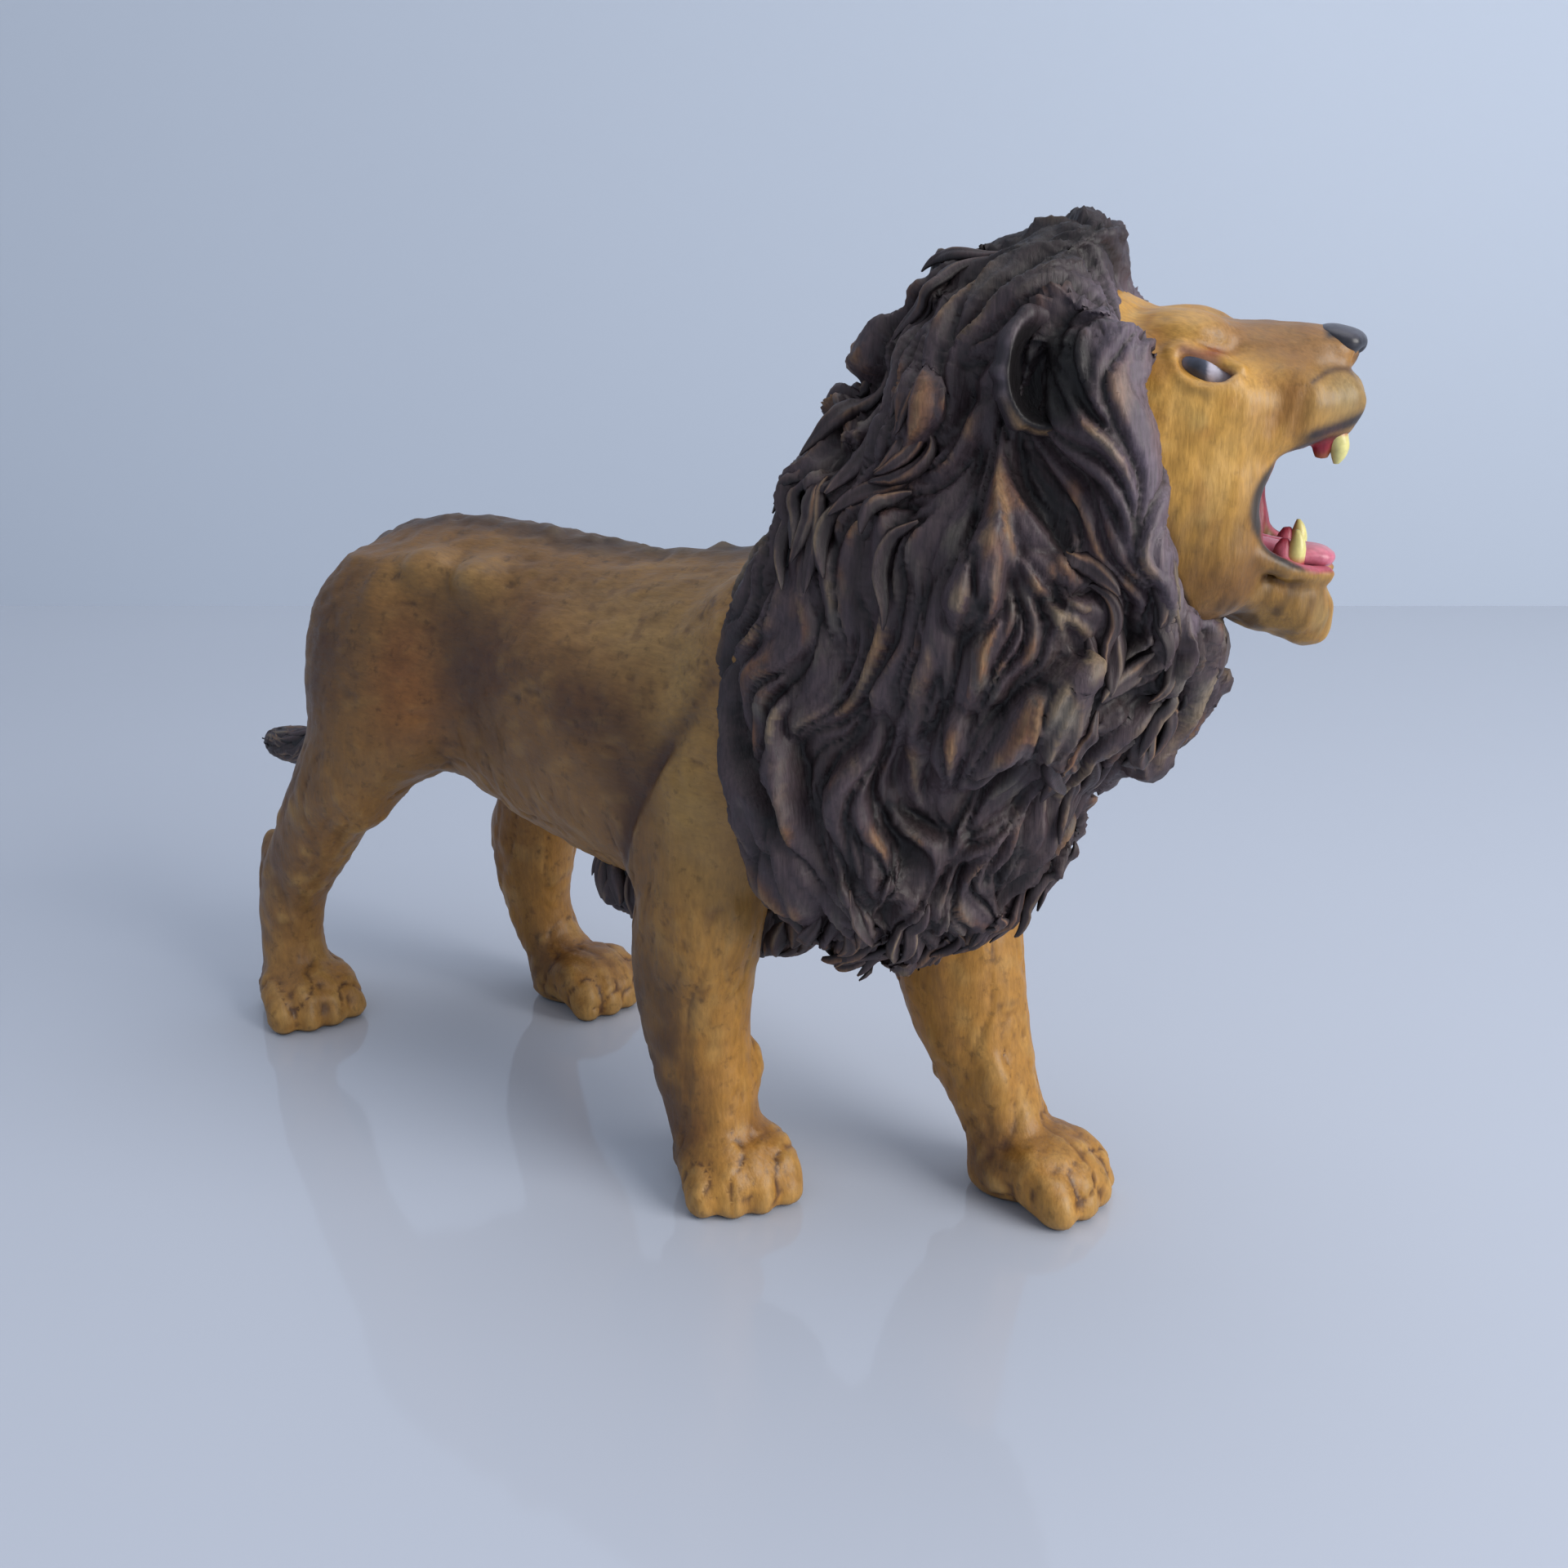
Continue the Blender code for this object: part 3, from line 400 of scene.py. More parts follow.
@dataclass
class Skin:
    """A closed surface of four-cornered faces.

    Attributes:
        vertices: One row for each vertex.
        faces: Four vertex numbers for each face.
    """

    vertices: Array
    faces: Array

    def spread(self, values: Array) -> Array:
        """The mean of each vertex's neighbours along the edges."""
        start = self.faces.ravel()
        end = np.roll(self.faces, -1, axis=1).ravel()
        size = len(self.vertices)
        count = np.bincount(start, minlength=size) + np.bincount(end, minlength=size)
        columns = []
        for column in values.reshape(size, -1).T:
            total = np.bincount(start, column[end], size) + np.bincount(end, column[start], size)
            columns.append(total / count)
        return np.column_stack(columns).reshape(values.shape)

    def relax(self, rounds: int) -> None:
        """Even out the surface: pull each vertex to its neighbours, then push it most of the way back."""
        for _ in range(rounds):
            self.vertices += 0.5 * (self.spread(self.vertices) - self.vertices)
            self.vertices -= 0.48 * (self.spread(self.vertices) - self.vertices)

    def normals(self) -> Array:
        """Unit normals: the sum of the faces' cross products round each vertex."""
        corners = self.vertices[self.faces]
        cross = np.cross(corners[:, 2] - corners[:, 0], corners[:, 3] - corners[:, 1])
        size = len(self.vertices)
        columns = []
        for axis in range(3):
            columns.append(np.bincount(self.faces.ravel(), np.repeat(cross[:, axis], 4), size))
        total = np.column_stack(columns)
        return total / np.maximum(np.linalg.norm(total, axis=1), 1e-12)[:, None]

    def hollows(self, rounds: int) -> Array:
        """How hollow the surface is at each vertex: above 0 in a groove, below 0 on a ridge."""
        smooth = self.vertices
        for _ in range(rounds):
            smooth = self.spread(smooth)
        return ((smooth - self.vertices) * self.normals()).sum(axis=1)


def piece_from(name: str, vertices: Array, faces: Array, marks: dict[str, Array]) -> bpy.types.Object:
    """Make a mesh object from a surface in millimetres.

    Args:
        name: The object's name.
        vertices: One row for each vertex.
        faces: Vertex numbers, one row for each face.
        marks: Attributes on the vertices: three columns are a colour or vector, one is a value.

    Returns:
        The object, at the origin, shaded smooth.
    """
    mesh = bpy.data.meshes.new(name)
    mesh.from_pydata((vertices * MM).tolist(), [], faces.tolist())
    for mark, values in marks.items():
        if mark == "paint":
            layer = mesh.attributes.new(mark, "FLOAT_COLOR", "POINT")
            layer.data.foreach_set("color", np.column_stack([values, np.ones(len(values))]).ravel())
        elif values.ndim == 2:
            layer = mesh.attributes.new(mark, "FLOAT_VECTOR", "POINT")
            layer.data.foreach_set("vector", values.ravel())
        else:
            layer = mesh.attributes.new(mark, "FLOAT", "POINT")
            layer.data.foreach_set("value", values)
    mesh.validate()
    mesh.shade_smooth()
    shape = bpy.data.objects.new(name, mesh)
    bpy.context.scene.collection.objects.link(shape)
    return shape


@dataclass(frozen=True)
class Finish:
    """A finish on moulded vinyl, and how fine its engraved hair is.

    Attributes:
        name: What the real finish is.
        roughness: From gloss at 0 to matt at 1.
        hair: Width and length of the engraved hairs, in millimetres.
        depth: Depth of the engraving, in millimetres.
        grime: How far the brushed-on colour varies, as a share.
        coat: Strength of a clear coat.
        specks: How dark the small specks of stain are, as a share.
    """

    name: str
    roughness: float
    hair: tuple[float, float] = (0.35, 2.5)
    depth: float = 0.05
    grime: float = 0.25
    coat: float = 0.0
    specks: float = 0.0


# Soft vinyl, painted by brush in thin matt acrylics: satin, with a wash that stays in the hollows
COAT_PAINT = Finish("painted_vinyl_coat", 0.46, (0.38, 1.2), 0.05, 0.15, 0.0, 0.34)
FACE_PAINT = Finish("painted_vinyl_face", 0.44, (0.26, 1.2), 0.03, 0.16, 0.0, 0.20)
MANE_PAINT = Finish("painted_vinyl_mane", 0.56, (0.26, 2.4), 0.05, 0.30)
# Dots of gloss paint: a thicker film, wet-looking, with no engraving below
GLOSS_PAINT = Finish("gloss_painted_vinyl", 0.38, (0.5, 0.5), 0.01, 0.10, 0.1)
MOUTH_PAINT = Finish("satin_painted_mouth", 0.34, (0.5, 0.8), 0.02, 0.15, 0.1)


# Cells per metre of the paint's uneven patches, about 2.4 mm across, and of the stain's specks
BLOTCH_SCALE = 420.0
STAIN_SCALE = 1 / (1.3 * MM)


def add_node(tree: bpy.types.NodeTree, kind: str, settings: dict, links: dict) -> bpy.types.Node:
    """Add a node with its settings and links.

    Args:
        tree: The node tree.
        kind: The node's type.
        settings: Properties by name, and input values by socket name or number.
        links: Output sockets by the name or number of the input they feed.

    Returns:
        The node.
    """
    node = tree.nodes.new(kind)
    for key, value in settings.items():
        if isinstance(key, str) and hasattr(node, key):
            setattr(node, key, value)
        else:
            node.inputs[key].default_value = value
    for key, socket in links.items():
        tree.links.new(socket, node.inputs[key])
    return node


def painted(finish: Finish) -> bpy.types.Material:
    """A painted vinyl material: the paint attribute, broken up by brush streaks, over engraved hair.

    The hair runs down where the hang attribute is 1, and back along the animal where it is 0.

    Args:
        finish: The finish.

    Returns:
        The material.
    """
    made = bpy.data.materials.get(finish.name)
    if made is not None:
        return made
    made = bpy.data.materials.new(finish.name)
    made.use_nodes = True
    tree = made.node_tree
    tree.nodes.clear()
    paint = add_node(tree, "ShaderNodeAttribute", {"attribute_name": "paint"}, {})
    width, length = (size * MM for size in finish.hair)
    coords = add_node(tree, "ShaderNodeTexCoord", {}, {}).outputs["Object"]
    hanging = {"Scale": (1 / width, 1 / width, 1 / length)}
    leaning = {"Scale": (1 / length, 1 / width, 1 / width), "Rotation": (0, math.radians(-14), 0)}
    hairs = []
    for lie in (hanging, leaning):
        along = add_node(tree, "ShaderNodeMapping", lie, {"Vector": coords}).outputs["Vector"]
        grain = {"Scale": 1.0, "Detail": 2.0, "Roughness": 0.6}
        hairs.append(add_node(tree, "ShaderNodeTexNoise", grain, {"Vector": along}).outputs["Fac"])
    hang = add_node(tree, "ShaderNodeAttribute", {"attribute_name": "hang"}, {}).outputs["Fac"]
    hair = add_node(
        tree, "ShaderNodeMix", {"data_type": "FLOAT"}, {"Factor": hang, 2: hairs[1], 3: hairs[0]}
    ).outputs[0]
    streak = add_node(
        tree, "ShaderNodeMapRange",
        {"From Min": 0.3, "From Max": 0.7, "To Min": 1 - finish.grime, "To Max": 1 + finish.grime},
        {"Value": hair},
    ).outputs["Result"]
    blotch = add_node(
        tree, "ShaderNodeTexNoise", {"Scale": BLOTCH_SCALE, "Detail": 3.0, "Roughness": 0.6}, {"Vector": coords}
    ).outputs["Fac"]
    blotch = add_node(
        tree, "ShaderNodeMapRange",
        {"From Min": 0.3, "From Max": 0.7, "To Min": 1 - finish.grime / 2, "To Max": 1 + finish.grime / 2},
        {"Value": blotch},
    ).outputs["Result"]
    shade = add_node(tree, "ShaderNodeMath", {"operation": "MULTIPLY"}, {0: streak, 1: blotch}).outputs[0]
    stain = add_node(
        tree, "ShaderNodeTexNoise", {"Scale": STAIN_SCALE, "Detail": 3.0, "Roughness": 0.65}, {"Vector": coords}
    ).outputs["Fac"]
    stain = add_node(
        tree, "ShaderNodeMapRange",
        {"From Min": 0.58, "From Max": 0.70, "To Min": 1.0, "To Max": 1 - finish.specks},
        {"Value": stain},
    ).outputs["Result"]
    shade = add_node(tree, "ShaderNodeMath", {"operation": "MULTIPLY"}, {0: shade, 1: stain}).outputs[0]
    colour = add_node(
        tree, "ShaderNodeVectorMath", {"operation": "SCALE"},
        {"Vector": paint.outputs["Color"], "Scale": shade},
    ).outputs["Vector"]
    polish = add_node(
        tree, "ShaderNodeMapRange",
        {"From Min": 0.3, "From Max": 0.7,
         "To Min": finish.roughness - 0.06, "To Max": finish.roughness + 0.08},
        {"Value": hair},
    ).outputs["Result"]
    bump = add_node(
        tree, "ShaderNodeBump", {"Strength": 1.0, "Distance": finish.depth * MM}, {"Height": hair}
    ).outputs["Normal"]
    shader = add_node(
        tree, "ShaderNodeBsdfPrincipled",
        {"IOR": 1.48, "Coat Weight": finish.coat, "Coat Roughness": 0.15},
        {"Base Color": colour, "Roughness": polish, "Normal": bump},
    )
    add_node(tree, "ShaderNodeOutputMaterial", {}, {"Surface": shader.outputs["BSDF"]})
    return made


def dress(piece: bpy.types.Object, finish: Finish, nodes: Sequence[str]) -> None:
    """Give a piece its finish, its body and the solids that it stands for.

    Args:
        piece: The piece.
        finish: Its finish.
        nodes: The solids that it replaces.
    """
    piece.data.materials.append(painted(finish))
    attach(piece, BODY)
    if nodes:
        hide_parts(*nodes)
    log.info("%s: %d faces", piece.name, len(piece.data.polygons))


@dataclass
class Palette:
    """A coat of paint that is built up on a surface, wash by wash."""

    colour: Array

    @classmethod
    def ground(cls, hex_colour: str, count: int) -> "Palette":
        """Start with one colour on every vertex."""
        return cls(np.tile(linear(hex_colour), (count, 1)))

    def wash(self, hex_colour: str, share: Array) -> None:
        """Lay a colour over the coat, by a share from 0 to 1 at each vertex."""
        share = np.clip(share, 0, 1)[:, None]
        self.colour = self.colour * (1 - share) + linear(hex_colour) * share

    def spots(self, points: Array, rows: Rows) -> None:
        """Lay soft spots in turn, each row a colour, its share, the spot's middle and its reach."""
        for hex_colour, share, middle, reach in rows:
            self.wash(hex_colour, share * near(points, middle, reach))


@dataclass
class Paw:
    """A paw: pad, instep, four toes and the dark claws at their tips.

    Attributes:
        place: Its middle on the floor.
        turn: Its turn about Z, in degrees.
    """

    place: tuple[float, float]
    turn: float

    def at(self, ahead: float, side: float, height: float) -> tuple[float, float, float]:
        """A place in the paw's own directions."""
        cosine, sine = math.cos(math.radians(self.turn)), math.sin(math.radians(self.turn))
        return (
            self.place[0] + ahead * cosine - side * sine,
            self.place[1] + ahead * sine + side * cosine,
            height,
        )

    def mould(self, block: Block) -> None:
        """Blend the paw into a block."""
        block.add(ball(self.at(-1.7, 0, 3.0), (5.0, 4.6, 3.9), self.turn), 1.6)
        block.add(ball(self.at(-3.4, 0, 1.6), (3.0, 3.9, 2.0), self.turn), 1.2)
        block.add(ball(self.at(1.6, 0, 3.5), (4.3, 4.6, 3.3), self.turn), 1.4)
        for rank in (-1.5, -0.5, 0.5, 1.5):
            reach = 5.1 - 0.45 * rank * rank
            side = 2.7 * rank
            heading = self.turn + 5 * rank
            block.add(ball(self.at(reach - 2.2, 0.9 * side, 4.4), (2.4, 1.6, 1.8), heading, -22), 1.5)
            block.add(ball(self.at(reach - 0.4, side, 2.5), (2.5, 1.7, 2.3), heading, -25), 1.3)
            block.add(ball(self.at(reach + 0.7, 1.02 * side, 1.2), (1.6, 1.4, 1.3), heading), 1.0)

    def tips(self) -> list[tuple[float, float, float]]:
        """Where the claws leave the toes."""
        return [self.at(6.7 - 0.45 * rank * rank, 2.75 * rank, 0.7) for rank in (-1.5, -0.5, 0.5, 1.5)]


@dataclass
class BodySkin:
    """Trunk, legs and paws as one moulded skin."""

    step: float = 0.46
    # Along the trunk: X, then the middle's Y and Z, half width and half depth
    trunk: Rows = (
        (-47.0, 0, 44.6, 2.2, 3.4), (-45.3, 0, 44.7, 4.2, 6.0), (-42.8, 0, 45.0, 6.1, 8.0),
        (-40.0, 0, 45.4, 7.6, 9.6), (-35.6, 0, 46.0, 9.1, 11.3), (-29.6, 0, 46.3, 10.2, 12.8),
        (-22.6, 0, 46.1, 10.6, 13.9), (-14.6, 0, 45.1, 10.9, 15.0), (-5.6, 0, 43.9, 11.9, 15.7),
        (3.4, 0, 43.1, 12.6, 16.2), (13.4, 0, 43.5, 12.8, 16.7), (23.4, 0, 45.6, 11.9, 16.3),
        (32.4, 0, 50.4, 10.8, 15.0), (39.4, 0, 57.6, 9.6, 12.2), (44.0, 0, 63.8, 8.4, 10.0),
    )
    # Up each leg: Z, then the middle's X and Y, half length and half width
    fore_right: Rows = (
        (2.0, 21.2, -9.2, 4.9, 4.7), (4.2, 20.9, -9.3, 4.8, 4.6), (7.2, 19.9, -9.3, 4.7, 4.2),
        (11.2, 18.7, -9.3, 5.2, 4.4), (15.9, 17.7, -9.3, 5.7, 4.6), (21.6, 17.4, -9.3, 6.3, 5.0),
        (27.9, 18.3, -9.3, 6.6, 5.2), (33.3, 18.8, -9.3, 6.5, 5.1), (37.8, 20.6, -9.5, 6.8, 5.0),
        (43.8, 24.0, -10.0, 7.2, 4.7), (49.8, 27.4, -10.2, 7.2, 4.1), (57.0, 29.2, -10.2, 5.5, 3.2),
    )
    fore_left: Rows = (
        (2.0, 44.4, 9.0, 4.9, 4.7), (3.9, 43.7, 9.0, 4.8, 4.6), (6.0, 42.0, 9.0, 4.6, 4.2),
        (10.5, 39.6, 9.0, 5.0, 4.3), (15.8, 37.2, 9.0, 6.1, 4.9), (21.6, 35.5, 9.0, 6.9, 5.3),
        (30.0, 33.6, 9.3, 7.3, 5.3), (39.0, 31.4, 9.7, 7.6, 5.0), (48.0, 29.4, 10.1, 7.4, 4.3),
        (56.0, 28.4, 10.2, 5.5, 3.2),
    )
    hind_right: Rows = (
        (2.0, -44.6, -12, 4.4, 4.2), (3.6, -44.9, -12, 4.3, 4.1), (6.0, -45.6, -12, 4.1, 3.8),
        (9.9, -46.0, -12, 4.0, 3.5), (14.7, -45.1, -12, 4.3, 3.6), (20.4, -41.5, -12, 5.6, 4.0),
        (26.4, -37.0, -12, 6.4, 4.6), (32.1, -32.1, -11.4, 7.9, 5.4), (37.8, -28.3, -10.4, 10.0, 5.8),
        (45.0, -28.1, -9.2, 11.2, 5.4), (51.6, -29.4, -7.9, 8.8, 4.1), (56.0, -30.0, -6.5, 5.0, 2.6),
    )
    hind_left: Rows = (
        (2.0, -22.6, 12, 4.6, 4.4), (3.9, -23.8, 12, 4.4, 4.2), (6.4, -26.4, 12, 4.2, 3.8),
        (10.2, -28.5, 12, 4.3, 3.6), (15.9, -29.2, 12, 5.4, 4.2), (21.6, -28.2, 12, 5.8, 4.7),
        (28.2, -24.4, 11.5, 7.0, 5.2), (36.0, -21.6, 10.6, 8.9, 5.6), (44.4, -25.0, 9.2, 10.9, 5.4),
        (51.6, -28.4, 7.9, 8.6, 4.1), (56.0, -29.0, 6.5, 5.0, 2.6),
    )
    paws: tuple[Paw, ...] = (
        Paw((21.4, -8.5), -34), Paw((45.2, 9.0), 4), Paw((-44.7, -12.0), -16), Paw((-21.2, 12.0), 2),
    )
    # On each side: haunch, hip bones, ribs, shoulder and side, each with the softness of its blend
    muscles: Rows = (
        ((-28.6, 6.9, 43.6), (10.8, 5.2, 11.4), 3.0), ((-20.6, 7.4, 55.6), (3.6, 2.8, 2.6), 1.8),
        ((-12.4, 7.7, 55.9), (3.4, 2.6, 2.2), 1.8), ((-25.5, 9.2, 46.5), (3.4, 2.9, 8.5), 2.2),
        ((0.5, 8.8, 45.0), (8.0, 3.6, 8.5), 3.0), ((26.5, 8.6, 50.5), (8.2, 4.3, 11.0), 4.0),
        ((9.0, 8.6, 42.5), (9.0, 4.6, 9.0), 4.0), ((19.5, 9.6, 44.0), (2.6, 3.2, 8.0), 2.0),
    )
    # Brushed-on colours of the flank, partly painted shade in its dark patches, with painted highlights on the hip
    # bones and the upper flank: colour, strength, middle and reach on the right side
    washes_and_painted_light: Rows = (
        ("#7a5634", 0.70, (-6, -12, 42), (26, 10, 8)), ("#4f3527", 0.85, (-33, -14, 46), (7, 9, 9)),
        ("#49352d", 0.95, (-11, -13, 47.5), (8.5, 9, 8.5)), ("#553322", 0.75, (-14, -13, 54), (4, 8, 2.5)),
        ("#653722", 0.70, (-4, -13, 55), (6, 8, 2.2)), ("#8a5328", 0.70, (-20.5, -13, 46), (3.2, 9, 8)),
        ("#4c2f22", 0.85, (8, -13, 46.5), (8, 9, 3.6)), ("#3a2119", 0.90, (13.5, -13, 42), (4, 9, 7)),
        ("#5a3a26", 0.70, (2, -12, 49), (7, 9, 2.5)), ("#c29148", 0.90, (-21.6, -11, 56), (4.6, 6, 2.6)),
        ("#c0924e", 0.85, (-12.2, -11, 56), (4.4, 6, 2.6)), ("#8f7350", 0.75, (4, -12, 57), (7, 7, 2.6)),
        ("#b0905c", 0.80, (13, -13, 55), (7, 7, 3.2)), ("#ae8c54", 0.75, (20, -13, 52), (4, 7, 5)),
        ("#9c8058", 0.60, (16, -11, 60), (8, 7, 3)), ("#a67a3e", 0.70, (-22, -13, 35), (6, 8, 4)),
        ("#74512f", 0.65, (-37, -13, 33), (5, 9, 6)), ("#b8924c", 0.80, (22, -14, 42), (4.5, 8, 9)),
        ("#60442e", 0.60, (17, -14, 30), (3, 8, 6)), ("#bf9350", 0.70, (24.5, -14, 28), (3, 8, 8)),
    )
    # Behind the shoulder, down to the elbow: X and Z of the crease
    crease: Rows = (
        (24.5, 52.5), (21.6, 48.8), (18.8, 45.4), (16.6, 42.4), (14.7, 39.6), (13.2, 36.6), (12.4, 33.6),
    )

    def mould(self) -> Block:
        """Blend trunk, legs, muscles and paws, and cut them level with the floor."""
        block = Block((-63, -20.5, -1.2), (57, 20.5, 75), self.step)
        block.add(tube(self.trunk, 0, 2.25), 0.1)
        for side in BOTH:
            sign = side.value
            for middle, half, softness in self.muscles:
                block.add(ball((middle[0], middle[1] * sign, middle[2]), half), softness)
        for rows in (self.fore_right, self.fore_left, self.hind_right, self.hind_left):
            block.add(tube(rows, 2, 2.1), 3.4)
        self.mould_joints(block)
        for paw in self.paws:
            paw.mould(block)
        tail = ((-43.0, 0, 50.5, 3.2), (-48.4, 1.0, 48.6, 2.4), (-52.4, 2, 43.6, 1.9))
        tail += ((-55.6, 3, 35.8, 1.65), (-58.6, 3.5, 28.2, 1.5))
        block.add(rope(tail, 16), 1.6)
        floor = Form(lambda x, y, z: z + 0 * x + 0 * y, np.array([-60, -20, -2]), np.array([60, 20, 1]))
        block.carve(floor, 0.1)
        return block

    def mould_joints(self, block: Block) -> None:
        """Elbows, wrists, dew claws, kneecaps and hocks."""
        for rows, sign in ((self.fore_right, -1), (self.fore_left, 1)):
            table = np.array(rows)
            wrist, elbow, arm = (ease_table(table, np.array([z])) for z in (12.0, 34.5, 28.0))
            block.add(ball((elbow[0][0] - 5.2, elbow[1][0] + 0.8 * sign, 35.0), (2.6, 3.2, 4.2)), 2.5)
            block.add(ball((arm[0][0] + 1.6, arm[1][0] + 2.2 * sign, 28.5), (4.6, 3.3, 7.5)), 2.0)
            block.add(ball((wrist[0][0] + 3.0, wrist[1][0] - 2.9 * sign, 12.2), (2.0, 1.5, 2.8)), 0.7)
            block.add(ball((wrist[0][0] - 3.8, wrist[1][0], 10.5), (1.6, 2.0, 1.9)), 1.0)
        for rows, hock, knee in ((self.hind_right, (-47.0, 18.6), (-29.5, 31.5)),
                                 (self.hind_left, (-32.6, 19.5), (-19.4, 30.0))):
            side = np.array(rows)[4][2]
            block.add(ball((hock[0], side, hock[1]), (2.0, 2.1, 4.2), 0, 20), 2.0)
            block.add(ball((knee[0], side, knee[1]), (3.0, 3.2, 4.6)), 3.0)

    def groove(self, points: Array) -> Array:
        """How near each point is to the crease behind a shoulder, from 0 to 1."""
        fade = 0.25 + 0.75 * (1 - ramp(points[:, 2], 43, 52))
        broken = 0.75 + 0.35 * mottle(points, 3.0, 17)
        return line_mark(points, self.crease, 1.0) * ramp(np.abs(points[:, 1]), 7, 10) * fade * broken

    def hang(self, points: Array) -> Array:
        """Where the hair hangs down a leg (1) and where it lies back along the trunk (0)."""
        return 1 - ramp(points[:, 2], 30, 46)

    def engrave(self, skin: Skin) -> None:
        """Move the surface for combed hair, skin folds, the crease and the hair along the spine."""
        points = skin.vertices
        hang = self.hang(points)
        down = streaks(points, (0.15, 0, 1), 1.1, 3.2, 3)
        back = streaks(points, (1, 0, 0.3), 1.0, 6.0, 4)
        depth = 0.10 * (hang * down + (1 - hang) * back)
        depth += 0.18 * mottle(points, 5.0, 9) + 0.15 * mottle(points, 2.2, 10)
        depth -= 0.16 * ramp(lattice_noise(points / (2.6, 2.6, 1.1), 12), 0.35, 0.8) * (1 - hang)
        depth -= 0.20 * ramp(np.abs(streaks(points, (0.3, 0, 1), 2.6, 12.0, 13)), 0.16, 0.0) * hang
        spine = np.exp(-(points[:, 1] / 2.2) ** 2) * ramp(points[:, 2], 50, 56)
        depth += spine * (0.85 + 0.45 * streaks(points, (1, 0, 0.2), 0.9, 2.2, 6))
        depth -= 0.85 * self.groove(points)
        foot = 1 - ramp(points[:, 2], 6, 11)
        depth += (0.05 + 0.10 * foot) * mottle(points, 1.3, 14) + 0.05 * lattice_noise(points / 0.95, 15)
        belly = ramp(skin.normals()[:, 2], -0.3, -0.9) * ramp(points[:, 2], 20, 26)
        depth += 0.15 * belly * streaks(points, (1, 0, 0.5), 1.2, 4.0, 8)
        sole = ramp(points[:, 2], 0.15, 1.2)
        skin.vertices = points + skin.normals() * (depth * sole)[:, None]

    def paint(self, skin: Skin) -> Array:
        """Yellow ochre, washed with brown in the hollows, brown and painted shade along the flank, painted highlights
        on the hips, grey down the spine.
        """
        points, normals = skin.vertices, skin.normals()
        right = np.column_stack([points[:, 0], -np.abs(points[:, 1]), points[:, 2]])
        coat = Palette.ground("#a3763c", len(points))
        blot = 0.5 + 0.5 * mottle(points, 8.0, 21)
        fine = 0.5 + 0.5 * mottle(points, 2.6, 22)
        rough = 0.55 * blot + 0.45 * fine
        hang = self.hang(points)
        comb = 0.5 + 0.5 * (hang * streaks(points, (0.15, 0, 1), 1.5, 2.8, 23)
                            + (1 - hang) * streaks(points, (1, 0, 0.3), 0.9, 3.5, 24))
        # The flank's brushed-on colours, with their painted shade and painted highlights
        for hex_colour, share, middle, reach in self.washes_and_painted_light:
            spot = near(right, middle, reach)
            coat.wash(hex_colour, share * spot * (0.55 + 0.9 * (rough - 0.2)))
        legs = 1 - ramp(points[:, 2], 24, 36)
        front = ramp(points[:, 0], 6, 13)
        coat.wash("#c08832", 0.60 * legs * front)
        coat.wash("#b57f30", 0.50 * legs * (1 - front))
        rear_leg = near(points, (-42, -17, 20), (9, 6, 12)) + near(points, (-49, -13, 12), (3.5, 8, 14))
        coat.wash("#5a3f30", 0.85 * np.clip(rear_leg, 0, 1) * (0.6 + 0.5 * fine))
        coat.wash("#6d5038", 0.6 * near(points, (-36, -16, 31), (7, 5, 6)) * (0.5 + 0.6 * fine))
        coat.wash("#7f4f22", 0.75 * near(points, (-30, 7, 24), (6, 5, 8)) * (0.4 + 0.7 * blot))
        # Painted shade: darker brown down the backs of both forelegs, and in patches on the outer side of the right one
        rear = near(points, (12.0, -12, 22), (4.5, 8, 14)) + near(points, (28, 11, 22), (4.5, 8, 12))
        coat.wash("#65432a", 0.85 * np.clip(rear, 0, 1) * (0.6 + 0.5 * fine))
        coat.wash("#6a4526", 0.6 * near(points, (16, -13, 15), (7, 5, 7)) * ramp(fine, 0.3, 0.7))
        coat.wash("#8a5a2a", 0.7 * near(points, (37, 6, 26), (1.6, 5, 10)) * ramp(comb, 0.2, 0.6))
        coat.wash("#6f4a26", 0.50 * ramp(comb * rough, 0.30, 0.55))
        coat.wash("#d0a660", 0.35 * ramp((1 - comb) * (1 - fine), 0.30, 0.55) * (0.4 + 0.6 * legs))
        for paw in self.paws:
            heel = near(points, paw.at(-3.0, -3.6, 5.0), (3.2, 3.0, 4.2))
            coat.wash("#4a2f1c", 0.85 * heel * (0.6 + 0.5 * fine))
            knuckles = near(points, paw.at(1.2, 0, 5.6), (3.2, 5, 2.6))
            coat.wash("#6a431f", 0.8 * knuckles * ramp(rough, 0.3, 0.6))
            coat.wash("#c4944a", 0.55 * near(points, paw.at(4.6, 0, 2.4), (3, 5, 2)) * (0.4 + fine))
        spots = ramp(mottle(points, 1.5, 31), 0.36, 0.58)
        coat.wash("#45291a", 0.8 * spots * near(right, (22.5, -13, 55), (8, 8, 7)))
        coat.wash("#4f3020", 0.55 * spots * (1 - legs) * ramp(blot, 0.35, 0.65))
        coat.wash("#4a2c18", 0.45 * ramp(mottle(points, 1.1, 32), 0.5, 0.7) * legs)
        coat.wash("#3c180c", 0.95 * np.sqrt(self.groove(points)))
        hollow = skin.hollows(5)
        coat.wash("#4a2d18", 0.8 * ramp(hollow, 0.03, 0.20))
        coat.wash("#cfa765", 0.35 * ramp(-hollow, 0.04, 0.2))
        toes = 1 - ramp(points[:, 2], 5.0, 7.5)
        coat.wash("#4b2a12", 0.75 * toes * ramp(skin.hollows(3), 0.008, 0.06))
        stripe = np.exp(-(points[:, 1] / (3.0 + 0.8 * mottle(points, 4.0, 41))) ** 4)
        stripe *= ramp(points[:, 2], 50, 55) * ramp(normals[:, 2], 0.1, 0.6)
        coat.wash("#453a33", 0.85 * stripe * (0.7 + 0.5 * fine))
